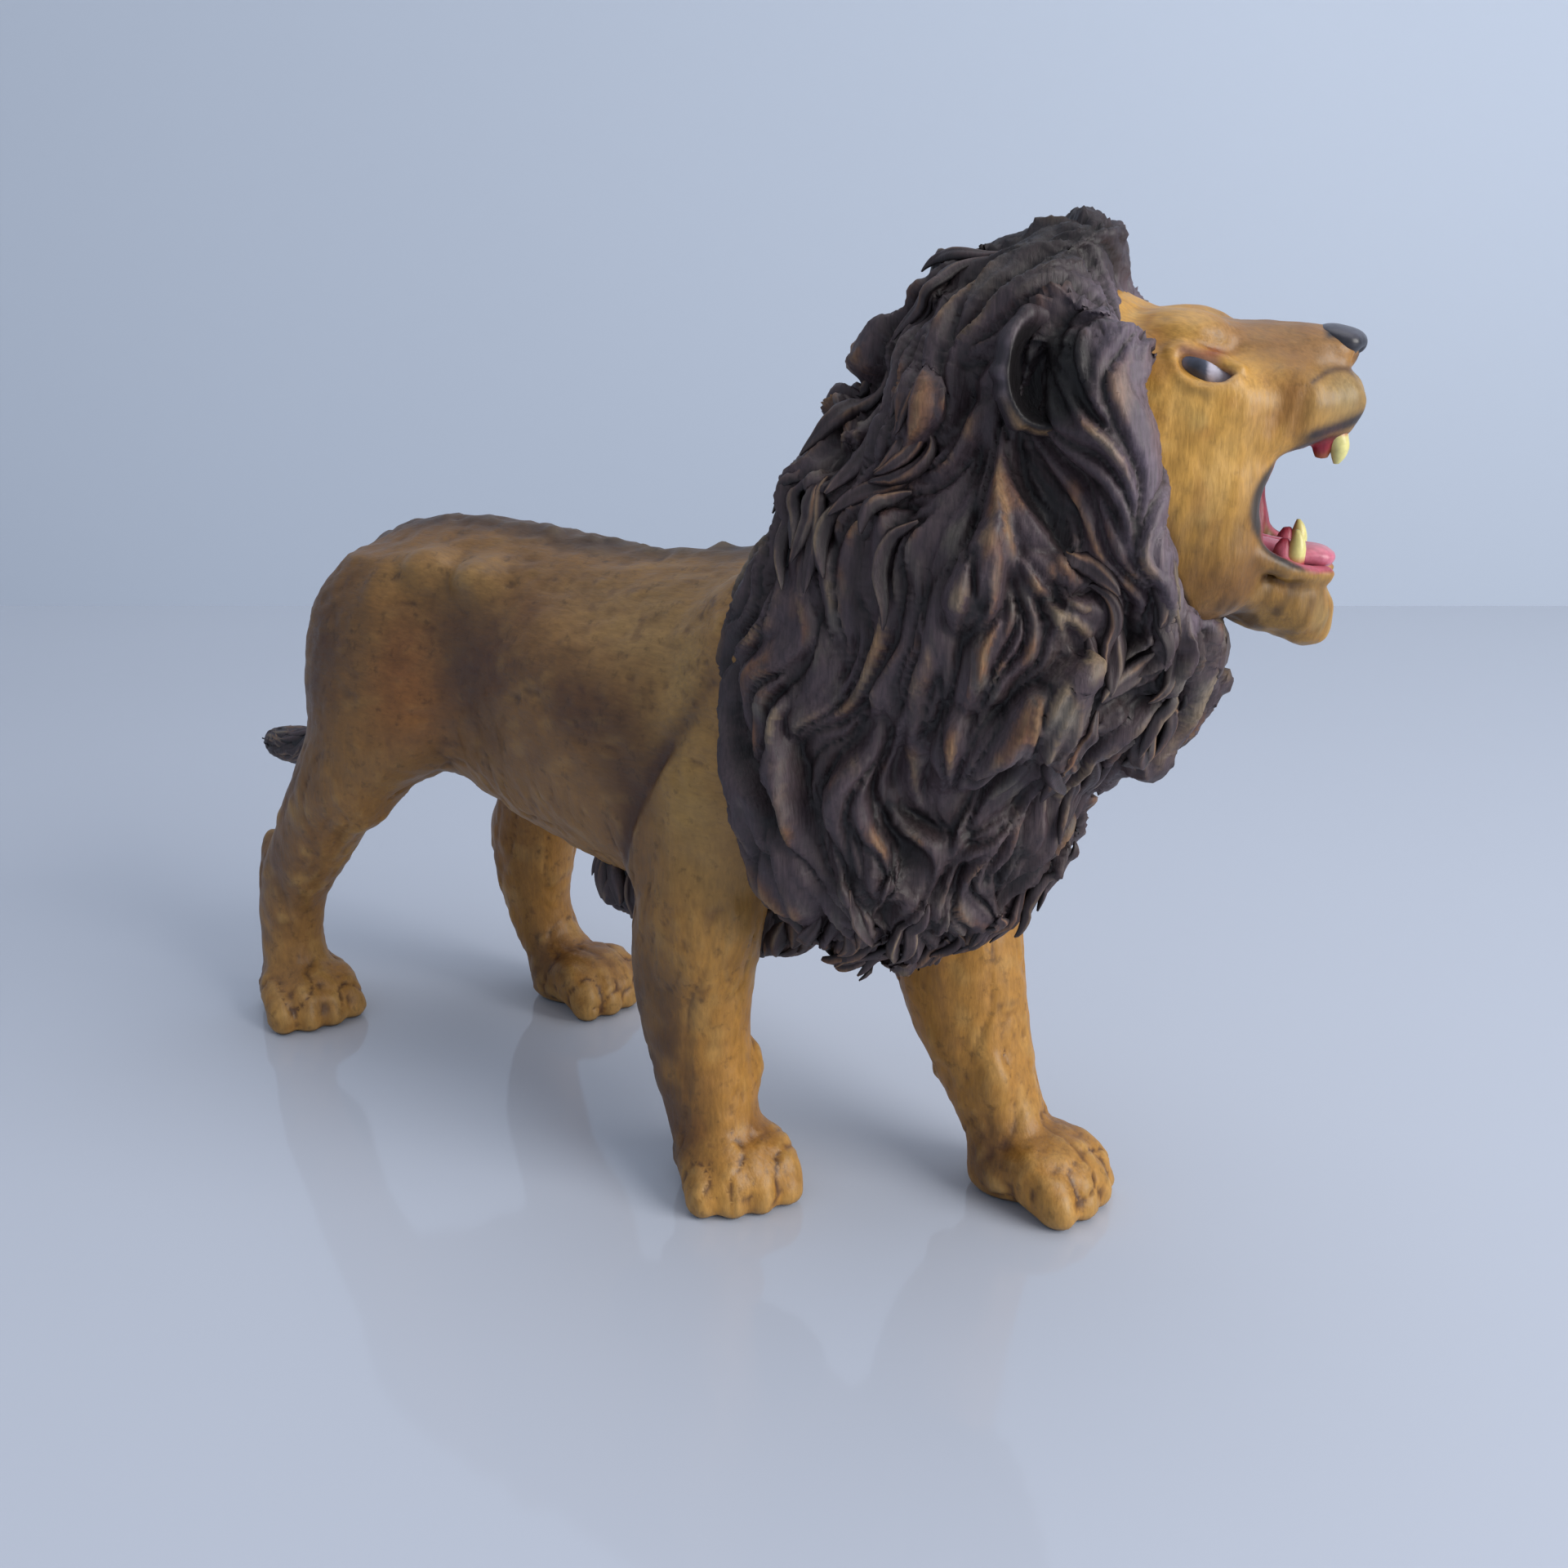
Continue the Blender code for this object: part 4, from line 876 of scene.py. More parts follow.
        coat.wash("#80705c", 0.45 * stripe * ramp(-hollow, 0.02, 0.15))
        # Darker overall, and painted shade that deepens toward the rear and over the upper flank and back
        high = ramp(points[:, 2], 44, 56) * (0.35 + 0.65 * ramp(-points[:, 0], -12, 6))
        coat.wash("#34190c", 0.20 + 0.17 * (1 - legs) * ramp(-points[:, 0], -6, 30) + 0.20 * high)
        # Painted shade down the back and the outer side of the right foreleg and its paw
        coat.wash("#33200f", 0.70 * near(points, (12.5, -13, 12), (4.4, 8, 15)) * (0.6 + 0.5 * fine))
        coat.wash("#3b2212", 0.85 * near(points, (17.4, -12.8, 5), (3.2, 3.4, 5.5)) * (0.6 + 0.6 * fine))
        coat.wash("#4a2c15", 0.60 * near(points, (18.6, -13, 14), (2.6, 3.4, 8)) * ramp(fine, 0.2, 0.6))
        # The first two spots add painted shade on the right foreleg and paw; the third lightens the right hock
        coat.spots(points, (
            ("#3d2717", 0.50, (18, -14, 20), (4.0, 4, 9)),
            ("#2c1b10", 0.55, (22.3, -15, 8.2), (2.4, 3, 3.4)),
            ("#a27a48", 0.35, (-47.3, -11, 8), (3, 3, 4)),
        ))
        coat.wash("#6b3f1a", 0.60 * near(points, (22.6, -11.5, 7.4), (5, 4, 1.8)) * ramp(fine, 0.2, 0.6))
        coat.wash("#c08f4c", 0.45 * near(points, (-45.5, -15, 10), (3.6, 6, 7)) * ramp(fine, 0.3, 0.7))
        # Painted highlights along the hip bones and the top of the shoulder, broken up by noise; then an orange patch
        # on the thigh and a red-brown stain on the flank
        patchy_light_and_tint = 0.4 + 0.8 * (1 - fine)
        coat.wash("#b88f5a", 0.30 * near(right, (-15, -9.5, 57.6), (12, 5, 3.2)) * patchy_light_and_tint)
        coat.wash("#b88f5a", 0.30 * near(right, (8, -10, 54.6), (11, 5, 3.6)) * patchy_light_and_tint)
        coat.wash("#a5672a", 0.35 * near(right, (-17.5, -13, 43), (4, 5, 5)) * patchy_light_and_tint)
        coat.wash("#552a12", 0.40 * near(right, (-4, -10, 48.5), (9, 5, 4.5)) * ramp(rough, 0.35, 0.6))
        coat.wash("#3a3230", 0.9 * near(points, (-58.6, 3.5, 28.2), (2.5, 3, 3)))
        coat.wash("#2a2420", 0.9 * (1 - ramp(points[:, 2], 0.1, 0.6)))
        return coat.colour

    def build(self) -> None:
        """Make the skin."""
        skin = self.mould().surface()
        skin.relax(2)
        self.engrave(skin)
        marks = {"paint": self.paint(skin), "hang": self.hang(skin.vertices)}
        piece = piece_from("body_skin", skin.vertices, skin.faces, marks)
        solids = ("torso", "foreleg_right", "foreleg_left", "hindleg_right", "hindleg_left", "tail")
        dress(piece, COAT_PAINT, solids)
        self.build_claws()

    def build_claws(self) -> None:
        """The claws: dark cones that curve down from the toes, each a small grid of rings."""
        around = np.linspace(0, 2 * math.pi, 9)[:-1]
        along = np.linspace(0, 1, 6)
        vertices, faces = [], []
        for paw in self.paws:
            heading = np.array(paw.at(1, 0, 0)) - np.array(paw.at(0, 0, 0))
            side = np.array([-heading[1], heading[0], 0])
            for tip in paw.tips():
                spine = np.array(tip) + np.outer(1.7 * along - 1.7, heading)
                spine = spine - np.outer(0.4 * along ** 2, (0, 0, 1))
                width = 0.45 * np.sqrt(np.clip(1 - along ** 2, 0, 1)) + 0.05
                ring = np.cos(around)[:, None] * side + np.sin(around)[:, None] * np.array([0, 0, 1])
                grid = spine[:, None, :] + width[:, None, None] * ring[None]
                base = sum(len(block) for block in vertices)
                vertices.append(grid.reshape(-1, 3))
                faces.append(tube_faces(len(along), len(around)) + base)
        points = np.concatenate(vertices)
        points[:, 2] = np.maximum(points[:, 2], 0.02)
        colour = Palette.ground("#1d1b1a", len(points)).colour
        marks = {"paint": colour, "hang": np.ones(len(points))}
        piece = piece_from("claws", points, np.concatenate(faces), marks)
        dress(piece, GLOSS_PAINT, ())


def tube_faces(rings: int, sides: int) -> Array:
    """Faces of a closed tube of rings, its two ends fanned with faces of four corners.

    Args:
        rings: How many rings.
        sides: How many vertices in each ring, an even number.

    Returns:
        Four vertex numbers for each face.
    """
    ring, side = np.meshgrid(np.arange(rings - 1), np.arange(sides), indexing="ij")
    following = (side + 1) % sides
    near_ring, far_ring = ring * sides, (ring + 1) * sides
    corners = [near_ring + side, near_ring + following, far_ring + following, far_ring + side]
    walls = np.stack(corners, axis=-1).reshape(-1, 4)
    step = np.arange(sides // 2 - 1)
    cap = np.stack([step, step + 1, sides - 2 - step, sides - 1 - step], axis=1)
    far = cap + (rings - 1) * sides
    return np.concatenate([walls, cap[:, ::-1], far])


@dataclass
class HeadFrame:
    """The head's own directions: ahead along the muzzle, across to its left, and up."""

    base: tuple[float, float] = (47.4, 0.0)
    turn: float = 22.0

    def out(self, points: Array) -> Array:
        """From the head's directions to the figure's."""
        cosine, sine = math.cos(math.radians(self.turn)), math.sin(math.radians(self.turn))
        return np.column_stack([
            self.base[0] + points[:, 0] * cosine - points[:, 1] * sine,
            self.base[1] + points[:, 0] * sine + points[:, 1] * cosine,
            points[:, 2],
        ])

    def into(self, points: Array) -> Array:
        """From the figure's directions to the head's."""
        cosine, sine = math.cos(math.radians(self.turn)), math.sin(math.radians(self.turn))
        ahead, across = points[:, 0] - self.base[0], points[:, 1] - self.base[1]
        return np.column_stack([ahead * cosine + across * sine, across * cosine - ahead * sine, points[:, 2]])


HEAD = HeadFrame()


@dataclass
class Head:
    """Skull, muzzle, open mouth and lower jaw, with eyes, nose, tongue and fangs."""

    step: float = 0.27
    # Along the bridge of the nose: ahead, then across and up, half width and half height
    bridge: Rows = (
        (-2.0, 0, 76.5, 8.0, 5.6), (4.5, 0, 77.8, 7.3, 5.0), (10.0, 0, 78.6, 6.1, 4.1), (14.0, 0, 79.0, 4.9, 3.4),
        (18.0, 0, 79.0, 4.1, 3.3), (21.0, 0, 79.1, 3.4, 2.9), (22.8, 0, 79.0, 2.5, 2.3),
    )
    jaw: Rows = (
        (4.0, 0, 64.6, 6.6, 4.6), (9.0, 0, 64.2, 6.6, 4.0), (14.0, 0, 63.5, 5.9, 3.1), (18.5, 0, 62.6, 4.7, 2.3),
        (21.4, 0, 62.0, 3.5, 2.3), (22.6, 0, 61.8, 2.6, 1.9),
    )
    eye: tuple[float, float, float] = (12.8, 5.45, 79.1)
    eye_halves: tuple[float, float, float] = (2.5, 1.65, 1.45)

    def mould(self) -> tuple[Block, Block]:
        """Blend the flesh, then carve mouth, sockets, nostrils and lip.

        Returns:
            The finished block, and the block before the mouth was carved.
        """
        block = Block((-6, -12.5, 55.5), (26.5, 12.5, 87), self.step)
        block.add(ball((4.0, 0, 75.0), (9.6, 9.3, 8.8)), 0.1)
        block.add(tube(self.bridge, 0, 2.5), 2.0)
        block.add(tube(self.jaw, 0, 2.3), 1.5)
        block.add(ball((5.0, 0, 66.0), (9.0, 8.0, 9.0)), 2.0)
        block.add(ball((3.6, 0, 80.2), (4.6, 7.2, 4.8)), 1.2)
        for sign in (-1, 1):
            block.add(ball((9.0, 5.2 * sign, 70.5), (7.0, 4.3, 10.0)), 2.5)
            block.add(ball((13.2, 4.9 * sign, 70.2), (5.2, 3.2, 8.2), 6 * sign), 2.0)
            block.add(ball((11.5, 5.6 * sign, 76.4), (6.0, 2.9, 3.6), 10 * sign), 1.5)
            block.add(ball((17.0, 3.5 * sign, 76.4), (5.6, 3.0, 3.6), 8 * sign), 1.5)
            block.add(ball((21.3, 2.2 * sign, 76.8), (2.8, 2.6, 2.35), 12 * sign), 0.8)
            block.add(ball((11.0, 3.6 * sign, 81.6), (3.4, 2.8, 1.75), 8 * sign, -6), 1.2)
            block.add(ball((12.5, 5.0 * sign, 64.6), (5.0, 3.0, 4.2), 8 * sign), 1.6)
            lip = ((15.5, 6.2 * sign, 73.8, 1.5), (19.0, 4.9 * sign, 74.9, 1.4), (22.0, 2.8 * sign, 75.2, 1.3))
            block.add(rope(lip), 0.8)
            under = (
                (17.6, 5.7 * sign, 65.6, 0.9), (20.0, 4.3 * sign, 64.4, 0.8), (22.4, 1.6 * sign, 63.9, 0.8),
            )
            block.add(rope(under), 0.7)
        block.add(ball((18.6, 0, 61.0), (4.2, 3.2, 2.2), 0, -8), 1.0)
        block.add(ball((21.0, 0, 60.7), (2.2, 2.9, 2.2)), 1.0)
        block.add(ball((21.6, 0, 59.3), (1.5, 1.9, 1.3)), 0.8)
        block.add(ball((21.7, 0, 80.3), (1.75, 2.7, 1.6)), 0.5)
        whole = copy.deepcopy(block)
        self.carve_mouth(block)
        for sign in (-1, 1):
            gum = ((21.4, 2.9 * sign, 75.4, 1.0), (21.5, 3.0 * sign, 74.2, 0.85), (21.4, 3.0 * sign, 73.2, 0.6))
            block.add(rope(gum, 6), 0.5)
            gum = ((19.3, 3.0 * sign, 64.4, 0.8), (19.3, 2.9 * sign, 65.6, 0.7), (19.4, 2.9 * sign, 66.3, 0.45))
            block.add(rope(gum, 6), 0.5)
        self.mould_eyes(block, whole)
        return block, whole

    def carve_mouth(self, block: Block) -> None:
        """Open the gape through both cheeks, and hollow the mouth between them."""
        def gape(x: Array, y: Array, z: Array) -> Array:
            scaled = np.sqrt(((x - 23.2) / 5.8) ** 2 + ((z - 69.35) / 4.75) ** 2) + 0 * y
            return (scaled - 1) * 4.75

        block.carve(Form(gape, np.array([17, -12, 64]), np.array([29, 12, 75])), 0.7)
        block.carve(ball((15.6, 0, 69.3), (6.6, 4.2, 4.3)), 0.8)
        block.carve(ball((19.0, 0, 73.9), (4.0, 2.5, 1.7)), 0.6)
        block.carve(ball((18.0, 0, 64.4), (3.8, 2.7, 1.1)), 0.6)
        for sign in (-1, 1):
            block.carve(ball((23.6, 1.35 * sign, 79.7), (0.9, 0.65, 0.5), 20 * sign), 0.25)
        block.carve(ball((24.4, 0, 77.0), (0.9, 0.3, 2.3)), 0.3)

    def mould_eyes(self, block: Block, whole: Block) -> None:
        """Sink the sockets and raise the lids and the corner of each eye."""
        for sign in (-1, 1):
            middle = np.array([self.eye[0], self.eye[1] * sign, self.eye[2]])
            for target in (block, whole):
                target.carve(ball(middle + (0.2, 1.8 * sign, 0), (2.3, 1.3, 0.85), -16 * sign, -20), 0.35)
            corners = ((10.3, 80.3), (11.2, 80.6), (12.4, 80.1), (13.6, 79.75), (15.2, 79.1))
            block.add(rope([(*self.on_cheek(whole, place, sign), 0.58) for place in corners]), 0.3)
            corners = ((10.3, 80.4), (10.9, 78.9), (12.3, 77.9), (13.9, 77.8), (15.1, 78.5))
            block.add(rope([(*self.on_cheek(whole, place, sign), 0.34) for place in corners]), 0.35)

    def on_cheek(self, block: Block, place: tuple[float, float], sign: int) -> tuple[float, float, float]:
        """Where a line across the head, at a place ahead and up, meets the cheek."""
        across = np.linspace(12, 0, 120)
        line = np.column_stack([np.full(120, place[0]), sign * across, np.full(120, place[1])])
        inside = np.argmax(block.sample(line) < 0)
        return (place[0], sign * (across[inside] - 0.05), place[1])

    def engrave(self, skin: Skin, depth_below: Array) -> None:
        """Comb the short hair: down the cheeks and the chin, back along the bridge."""
        points = skin.vertices
        outside = ramp(depth_below, -0.5, -0.1)
        cheek = 1 - ramp(points[:, 2], 77, 81)
        hair = cheek * streaks(points, (0.2, 0, 1), 0.7, 3.2, 51)
        hair += (1 - cheek) * streaks(points, (1, 0, 0.2), 0.7, 3.2, 52)
        chin = near(points, (22, 0, 60), (2.5, 4, 2.5))
        amount = outside * (0.06 * hair + 0.11 * mottle(points, 2.6, 53) + 0.06 * mottle(points, 1.1, 56))
        amount += 0.22 * chin * streaks(points, (0.1, 0, 1), 0.75, 4.0, 54)
        pads = near(points, (22.5, 0, 77), (3, 5, 2))
        amount += 0.06 * pads * streaks(points, (0.3, 1, 0.2), 0.8, 2.0, 55)
        skin.vertices = points + skin.normals() * amount[:, None]

    def mouth_shares(self, points: Array) -> tuple[Array, Array]:
        """How far points belong to the dark edge of the lips, and to the inside of the mouth."""
        ahead, aside, height = points.T
        gape = np.hypot((ahead - 23.2) / 5.8, (height - 69.35) / 4.75)
        cut = 1 - ramp(np.abs(gape - 1), 0.06, 0.15)
        limit = 5.9 - 0.5 * (ahead - 17.5)
        within = 1 - ramp(np.abs(aside), limit - 0.5, limit + 0.3)
        throat = np.sqrt(((ahead - 15.6) / 6.6) ** 2 + (aside / 4.2) ** 2 + ((height - 69.3) / 4.3) ** 2)
        roof = np.sqrt(((ahead - 19.0) / 4.0) ** 2 + (aside / 2.5) ** 2 + ((height - 73.9) / 1.7) ** 2)
        floor = np.sqrt(((ahead - 18.0) / 3.8) ** 2 + (aside / 2.7) ** 2 + ((height - 64.4) / 1.1) ** 2)
        inner = np.maximum(cut * within, 1 - ramp(np.minimum(np.minimum(throat, roof), floor), 1.08, 1.28))
        return cut * (1 - within), inner

    def paint(self, skin: Skin) -> Array:
        """Orange ochre with brown streaks, cream muzzle and chin, black lips, red gums, pink mouth, and painted shade.
        """
        points = skin.vertices
        mirrored = np.column_stack([points[:, 0], -np.abs(points[:, 1]), points[:, 2]])
        coat = Palette.ground("#cf9c48", len(points))
        fine = 0.5 + 0.5 * streaks(points, (0.2, 0, 1), 0.8, 3.5, 61)
        blot = 0.5 + 0.5 * mottle(points, 4.5, 62)
        coat.wash("#dcb066", 0.6 * ramp(fine, 0.45, 0.85) * near(mirrored, (12, -8, 73), (6, 5, 8)))
        coat.wash("#a0672a", 0.6 * ramp(fine * blot, 0.25, 0.65))
        coat.wash("#a9702c", 0.55 * ramp(mottle(points, 2.2, 65), 0.1, 0.7))
        coat.wash("#e0bd74", 0.35 * ramp(mottle(points, 1.8, 66), 0.2, 0.8))
        bridge = ramp(points[:, 2] + 0.25 * (points[:, 0] - 14), 79.4, 81.6) * ramp(points[:, 0], 10, 15)
        coat.wash("#87613f", 0.80 * bridge)
        coat.spots(mirrored, (
            ("#9a5f28", 0.70, (8.6, -8, 81.0), (1.6, 4, 1.6)),
            ("#c79a5a", 0.60, (11.5, -5, 82.8), (2.0, 3, 0.9)),
            ("#794a20", 0.80, (18.9, -5, 77.0), (1.7, 3, 2.8)),
            ("#b98f50", 0.60, (16.4, -6, 76.4), (1.3, 3, 2.2)),
        ))
        coat.wash("#6a3b0e", 0.90 * near(mirrored, (15.0, -6, 64.0), (4.2, 4, 3.0)) * (0.6 + 0.8 * blot))
        coat.spots(mirrored, (
            ("#7a4d22", 0.60, (17.2, -6, 68.5), (1.3, 4, 4.5)),
            ("#7c5a4c", 0.60, (14.0, -4, 61.0), (2.6, 5, 1.2)),
        ))
        cream = near(mirrored, (22.3, -3.0, 77.2), (2.2, 3.2, 1.7)) * ramp(points[:, 0], 18.6, 20.4)
        coat.wash("#a59062", 1.1 * cream)
        coat.wash("#8a6a3c", 0.7 * cream * ramp(mottle(points, 1.2, 63), 0.0, 0.5))
        chin = near(points, (22.6, 0, 60.8), (1.6, 4, 2.6))
        coat.wash("#c0a468", 0.85 * chin * ramp(streaks(points, (0.1, 0, 1), 0.6, 5.0, 64), -0.2, 0.4))
        coat.wash("#7c5424", 0.7 * near(points, (21.0, 0, 60), (2.0, 4, 3)) * ramp(1 - fine, 0.4, 0.8))
        arch = ((20.3, 78.3), (21.4, 79.0), (22.6, 79.1), (23.6, 78.6))
        coat.wash("#4d3c36", 0.85 * line_mark(mirrored, arch, 0.22) * ramp(np.abs(points[:, 1]), 1.0, 1.8))
        lip = ((24.2, 75.8), (23.0, 75.3), (21.8, 74.9), (20.6, 74.5), (19.5, 74.0))
        coat.wash("#2c2829", 1.1 * line_mark(mirrored, lip, 0.55) * ramp(points[:, 0], 18.8, 21.0))
        coat.wash("#3a3633", 0.9 * line_mark(mirrored, ((18.4, 66.4), (19.2, 65.6), (20.2, 65.1)), 0.5))
        hollow = skin.hollows(4)
        coat.wash("#5e3a1c", 0.6 * ramp(hollow, 0.015, 0.1))
        # Darker over the whole face, and painted shade under the jaw and the lower cheek
        low = near(mirrored, (16.5, -3, 61.5), (6.5, 9, 4.6))
        low = low + 0.5 * near(mirrored, (20.5, -3, 61.5), (4, 6, 3))
        low = low + 0.7 * near(mirrored, (12.5, -8, 66.5), (4.0, 5, 3.0))
        coat.wash("#34200f", 0.20 + 0.48 * np.clip(low, 0, 1) * (0.5 + 0.8 * ramp(fine, 0.3, 0.7)))
        coat.wash("#3a2412", 0.25 * near(mirrored, (21.5, -3, 77), (3, 5, 3)))
        lid = line_mark(mirrored, ((11.2, 80.5), (12.4, 80.0), (13.4, 79.7)), 0.45)
        coat.wash("#946a5a", 0.85 * lid)
        coat.spots(mirrored, (
            ("#7e3a22", 0.85, (13.3, -6.9, 80.3), (1.0, 2.5, 0.35)),
            ("#8d8591", 0.8, (14.2, -6.0, 78.6), (0.9, 2.0, 0.5)),
        ))
        coat.wash("#a9762f", 0.8 * near(points, (22.6, 0, 80.0), (1.2, 3, 0.8)))
        nose = ramp(points[:, 0], 20.6, 21.2) * ramp(points[:, 2], 81.0, 81.5)
        nose = np.maximum(nose, near(points, (23.5, 0, 79.9), (0.6, 0.9, 0.6)))
        coat.wash("#26262c", nose)
        edge, inner = self.mouth_shares(points)
        coat.wash("#2e2b2a", 0.95 * edge)
        coat.wash("#8a2c3b", inner)
        gum = near(mirrored, (21.4, -3, 73.8), (0.9, 1.4, 1.2))
        gum = gum + near(mirrored, (19.7, -2.9, 66.2), (0.8, 1.3, 1.2))
        coat.wash("#8e1f30", 1.5 * gum)
        # Painted shade: the skin just behind the mane's edge is near black, so that gaps in the hair read as shadow
        behind = ease_table(np.array(Mane.edge), points[:, 2])[0] - 0.7
        coat.wash("#1d1719", ramp(behind - points[:, 0], 0.0, 0.5) * ramp(points[:, 2], 60, 62))
        # Painted shade deeper in the mouth
        coat.wash("#4f1723", 0.8 * inner * ramp(17.5 - points[:, 0], -1.0, 3.0))
        coat.wash("#c56a7c", 0.7 * inner * (1 - ramp(np.abs(points[:, 2] - 65.2), 0.6, 1.6)))
        return coat.colour

    def build(self) -> None:
        """Make the head and what is set in it."""
        block, whole = self.mould()
        skin = block.surface()
        skin.relax(2)
        depth_below = whole.sample(skin.vertices)
        self.engrave(skin, depth_below)
        colour = self.paint(skin)
        marks = {"paint": colour, "hang": 1 - ramp(skin.vertices[:, 2], 78, 81)}
        piece = piece_from("head_skin", HEAD.out(skin.vertices), skin.faces, marks)
        dress(piece, FACE_PAINT, ("head", "lower_jaw"))
        self.build_eyes()
        self.build_nose()
        self.build_tongue()
        self.build_fangs()

    def build_eyes(self) -> None:
        """Eyeballs: a globe from rings of latitude about the side axis, with a dark iris."""
        turn = np.linspace(0, 2 * math.pi, 33)[:-1]
        tilt = np.linspace(0.03, math.pi - 0.03, 20)
        ring, around = np.meshgrid(tilt, turn, indexing="ij")
        for side in BOTH:
            sign = side.value
            wide = np.sin(ring)
            globe = np.stack([wide * np.cos(around), sign * np.cos(ring), wide * np.sin(around)], -1)
            points = globe.reshape(-1, 3) * self.eye_halves
            points[:, 1] -= 0.13 * sign * points[:, 0]
            points[:, 2] -= 0.34 * points[:, 0]
            points = points + (self.eye[0], self.eye[1] * sign, self.eye[2])
            coat = Palette.ground("#4a5062", len(points))
            ahead = points[:, 0] - self.eye[0]
            coat.wash("#23252e", near(points, (12.2, 6.9 * sign, 79.3), (0.55, 3, 0.55)))
            coat.wash("#c6c2d2", ramp(ahead, 0.05, 0.4))
            coat.wash("#7b7a8c", ramp(-ahead, 1.2, 1.7))
            faces = tube_faces(len(tilt), len(turn))
            faces = faces if side is Side.RIGHT else faces[:, ::-1]
            marks = {"paint": coat.colour, "hang": np.ones(len(points))}
            name = side.name.lower()
            piece = piece_from("eyeball_" + name, HEAD.out(points), faces, marks)
            dress(piece, GLOSS_PAINT, ("eye_" + name,))

    def build_nose(self) -> None:
        """The nose pad: a broad, blunt wedge over the nostrils."""
        block = Block((18.5, -4.5, 77), (26, 4.5, 84), 0.16)
        block.add(ball((21.9, 0, 81.3), (1.8, 2.3, 0.85), 0, -14), 0.1)
        block.add(ball((22.9, 0, 80.8), (0.85, 1.9, 0.75)), 0.8)
        for sign in (-1, 1):
            block.add(ball((22.2, 1.7 * sign, 80.9), (1.1, 0.8, 0.6), 15 * sign), 0.5)
            block.carve(ball((23.7, 1.05 * sign, 80.3), (0.5, 0.45, 0.3), 30 * sign), 0.2)
        skin = block.surface()
        skin.relax(2)
        coat = Palette.ground("#2b2b33", len(skin.vertices))
        # Painted highlight on the upward-facing top of the nose pad
        coat.wash("#55535e", 0.5 * ramp(skin.normals()[:, 2], 0.2, 0.9))
        marks = {"paint": coat.colour, "hang": np.ones(len(skin.vertices))}
        piece = piece_from("nose_skin", HEAD.out(skin.vertices), skin.faces, marks)
        dress(piece, GLOSS_PAINT, ("nose_pad",))

    def build_tongue(self) -> None:
        """The tongue, grooved down its middle, and the ribbed roof of the mouth."""
        block = Block((9, -5, 61.5), (25, 5, 77.5), 0.2)
        run = (
            (12.0, 0, 65.4, 2.0, 1.3), (16.0, 0, 65.5, 2.5, 1.2),
            (19.5, 0, 65.1, 2.4, 1.0), (22.4, 0, 65.0, 1.6, 0.85),
        )
        block.add(tube(run, 0), 0.1)
        block.add(ball((22.2, 0, 64.9), (1.0, 1.5, 0.7)), 0.6)
        block.carve(ball((18.0, 0, 66.6), (6.5, 0.25, 0.7)), 0.4)
        skin = block.surface()
        skin.relax(2)
        skin.vertices += skin.normals() * (0.05 * mottle(skin.vertices, 0.9, 71))[:, None]
        coat = Palette.ground("#c06a7e", len(skin.vertices))
        # Painted shade toward the back of the mouth, and a painted highlight on the upward-facing front of the tongue
        coat.wash("#8e3446", ramp(17.5 - skin.vertices[:, 0], 0, 5))
        coat.wash("#e09aa4", 0.4 * ramp(skin.normals()[:, 2], 0.5, 1.0) * ramp(skin.vertices[:, 0], 17, 21))
        marks = {"paint": coat.colour, "hang": np.zeros(len(skin.vertices))}
        piece = piece_from("tongue_skin", HEAD.out(skin.vertices), skin.faces, marks)
        dress(piece, MOUTH_PAINT, ("tongue",))
        block = Block((11, -5, 70), (25, 5, 77.5), 0.2)
        roof = ((12.5, 0, 74.4, 2.6, 1.0), (17.0, 0, 74.9, 2.7, 1.0), (21.5, 0, 75.0, 2.1, 1.0))
        block.add(tube(roof, 0), 0.1)
        for ahead in (14.0, 15.4, 16.8, 18.2, 19.6):
            ridge = ((ahead, -2.2, 74.3, 0.3), (ahead + 0.4, 0, 73.9, 0.34), (ahead, 2.2, 74.3, 0.3))
            block.add(rope(ridge), 0.3)
        skin = block.surface()
        skin.relax(1)
        coat = Palette.ground("#b4505f", len(skin.vertices))
        # Painted shade in the hollows between the ridges
        coat.wash("#7c2838", ramp(skin.hollows(3), 0.01, 0.06))
        marks = {"paint": coat.colour, "hang": np.zeros(len(skin.vertices))}
        piece = piece_from("palate_skin", HEAD.out(skin.vertices), skin.faces, marks)
        dress(piece, MOUTH_PAINT, ("palate",))

    def build_fangs(self) -> None:
        """Blunt painted canines: round sections that swell, taper and lean along a short curve."""
        rows = {
            "upper_fang": (
                ((22.0, 75.4, 0.7), (22.3, 74.5, 0.8), (22.6, 73.6, 0.72), (22.6, 72.8, 0.5), (22.5, 72.3, 0.2)),
                3.0,
            ),
            "lower_fang": (
                ((20.2, 64.2, 0.7), (20.2, 65.2, 0.75), (20.3, 66.0, 0.66), (20.3, 66.8, 0.42), (20.2, 67.3, 0.15)),
                2.9,
            ),
        }
        around = np.linspace(0, 2 * math.pi, 17)[:-1]
        for kind, (line, across) in rows.items():
            dense = spline(line, 14)
            for side in BOTH:
                sign = side.value
                ring = np.stack([np.cos(around), np.sin(around), 0 * around], -1)
                middle = np.column_stack([dense[:, 0], np.full(len(dense), across * sign), dense[:, 1]])
                points = (middle[:, None] + dense[:, 2, None, None] * ring[None]).reshape(-1, 3)
                coat = Palette.ground("#dcd48a", len(points))
                root = dense[0, 1]
                far = np.abs(points[:, 2] - root)
                coat.wash("#a3303c", 1 - ramp(far, 0.7, 1.2))
                coat.wash("#a8974e", 0.5 * ramp(-(points[:, 0] - 21.0), 0.1, 0.8))
                faces = tube_faces(len(dense), len(around))
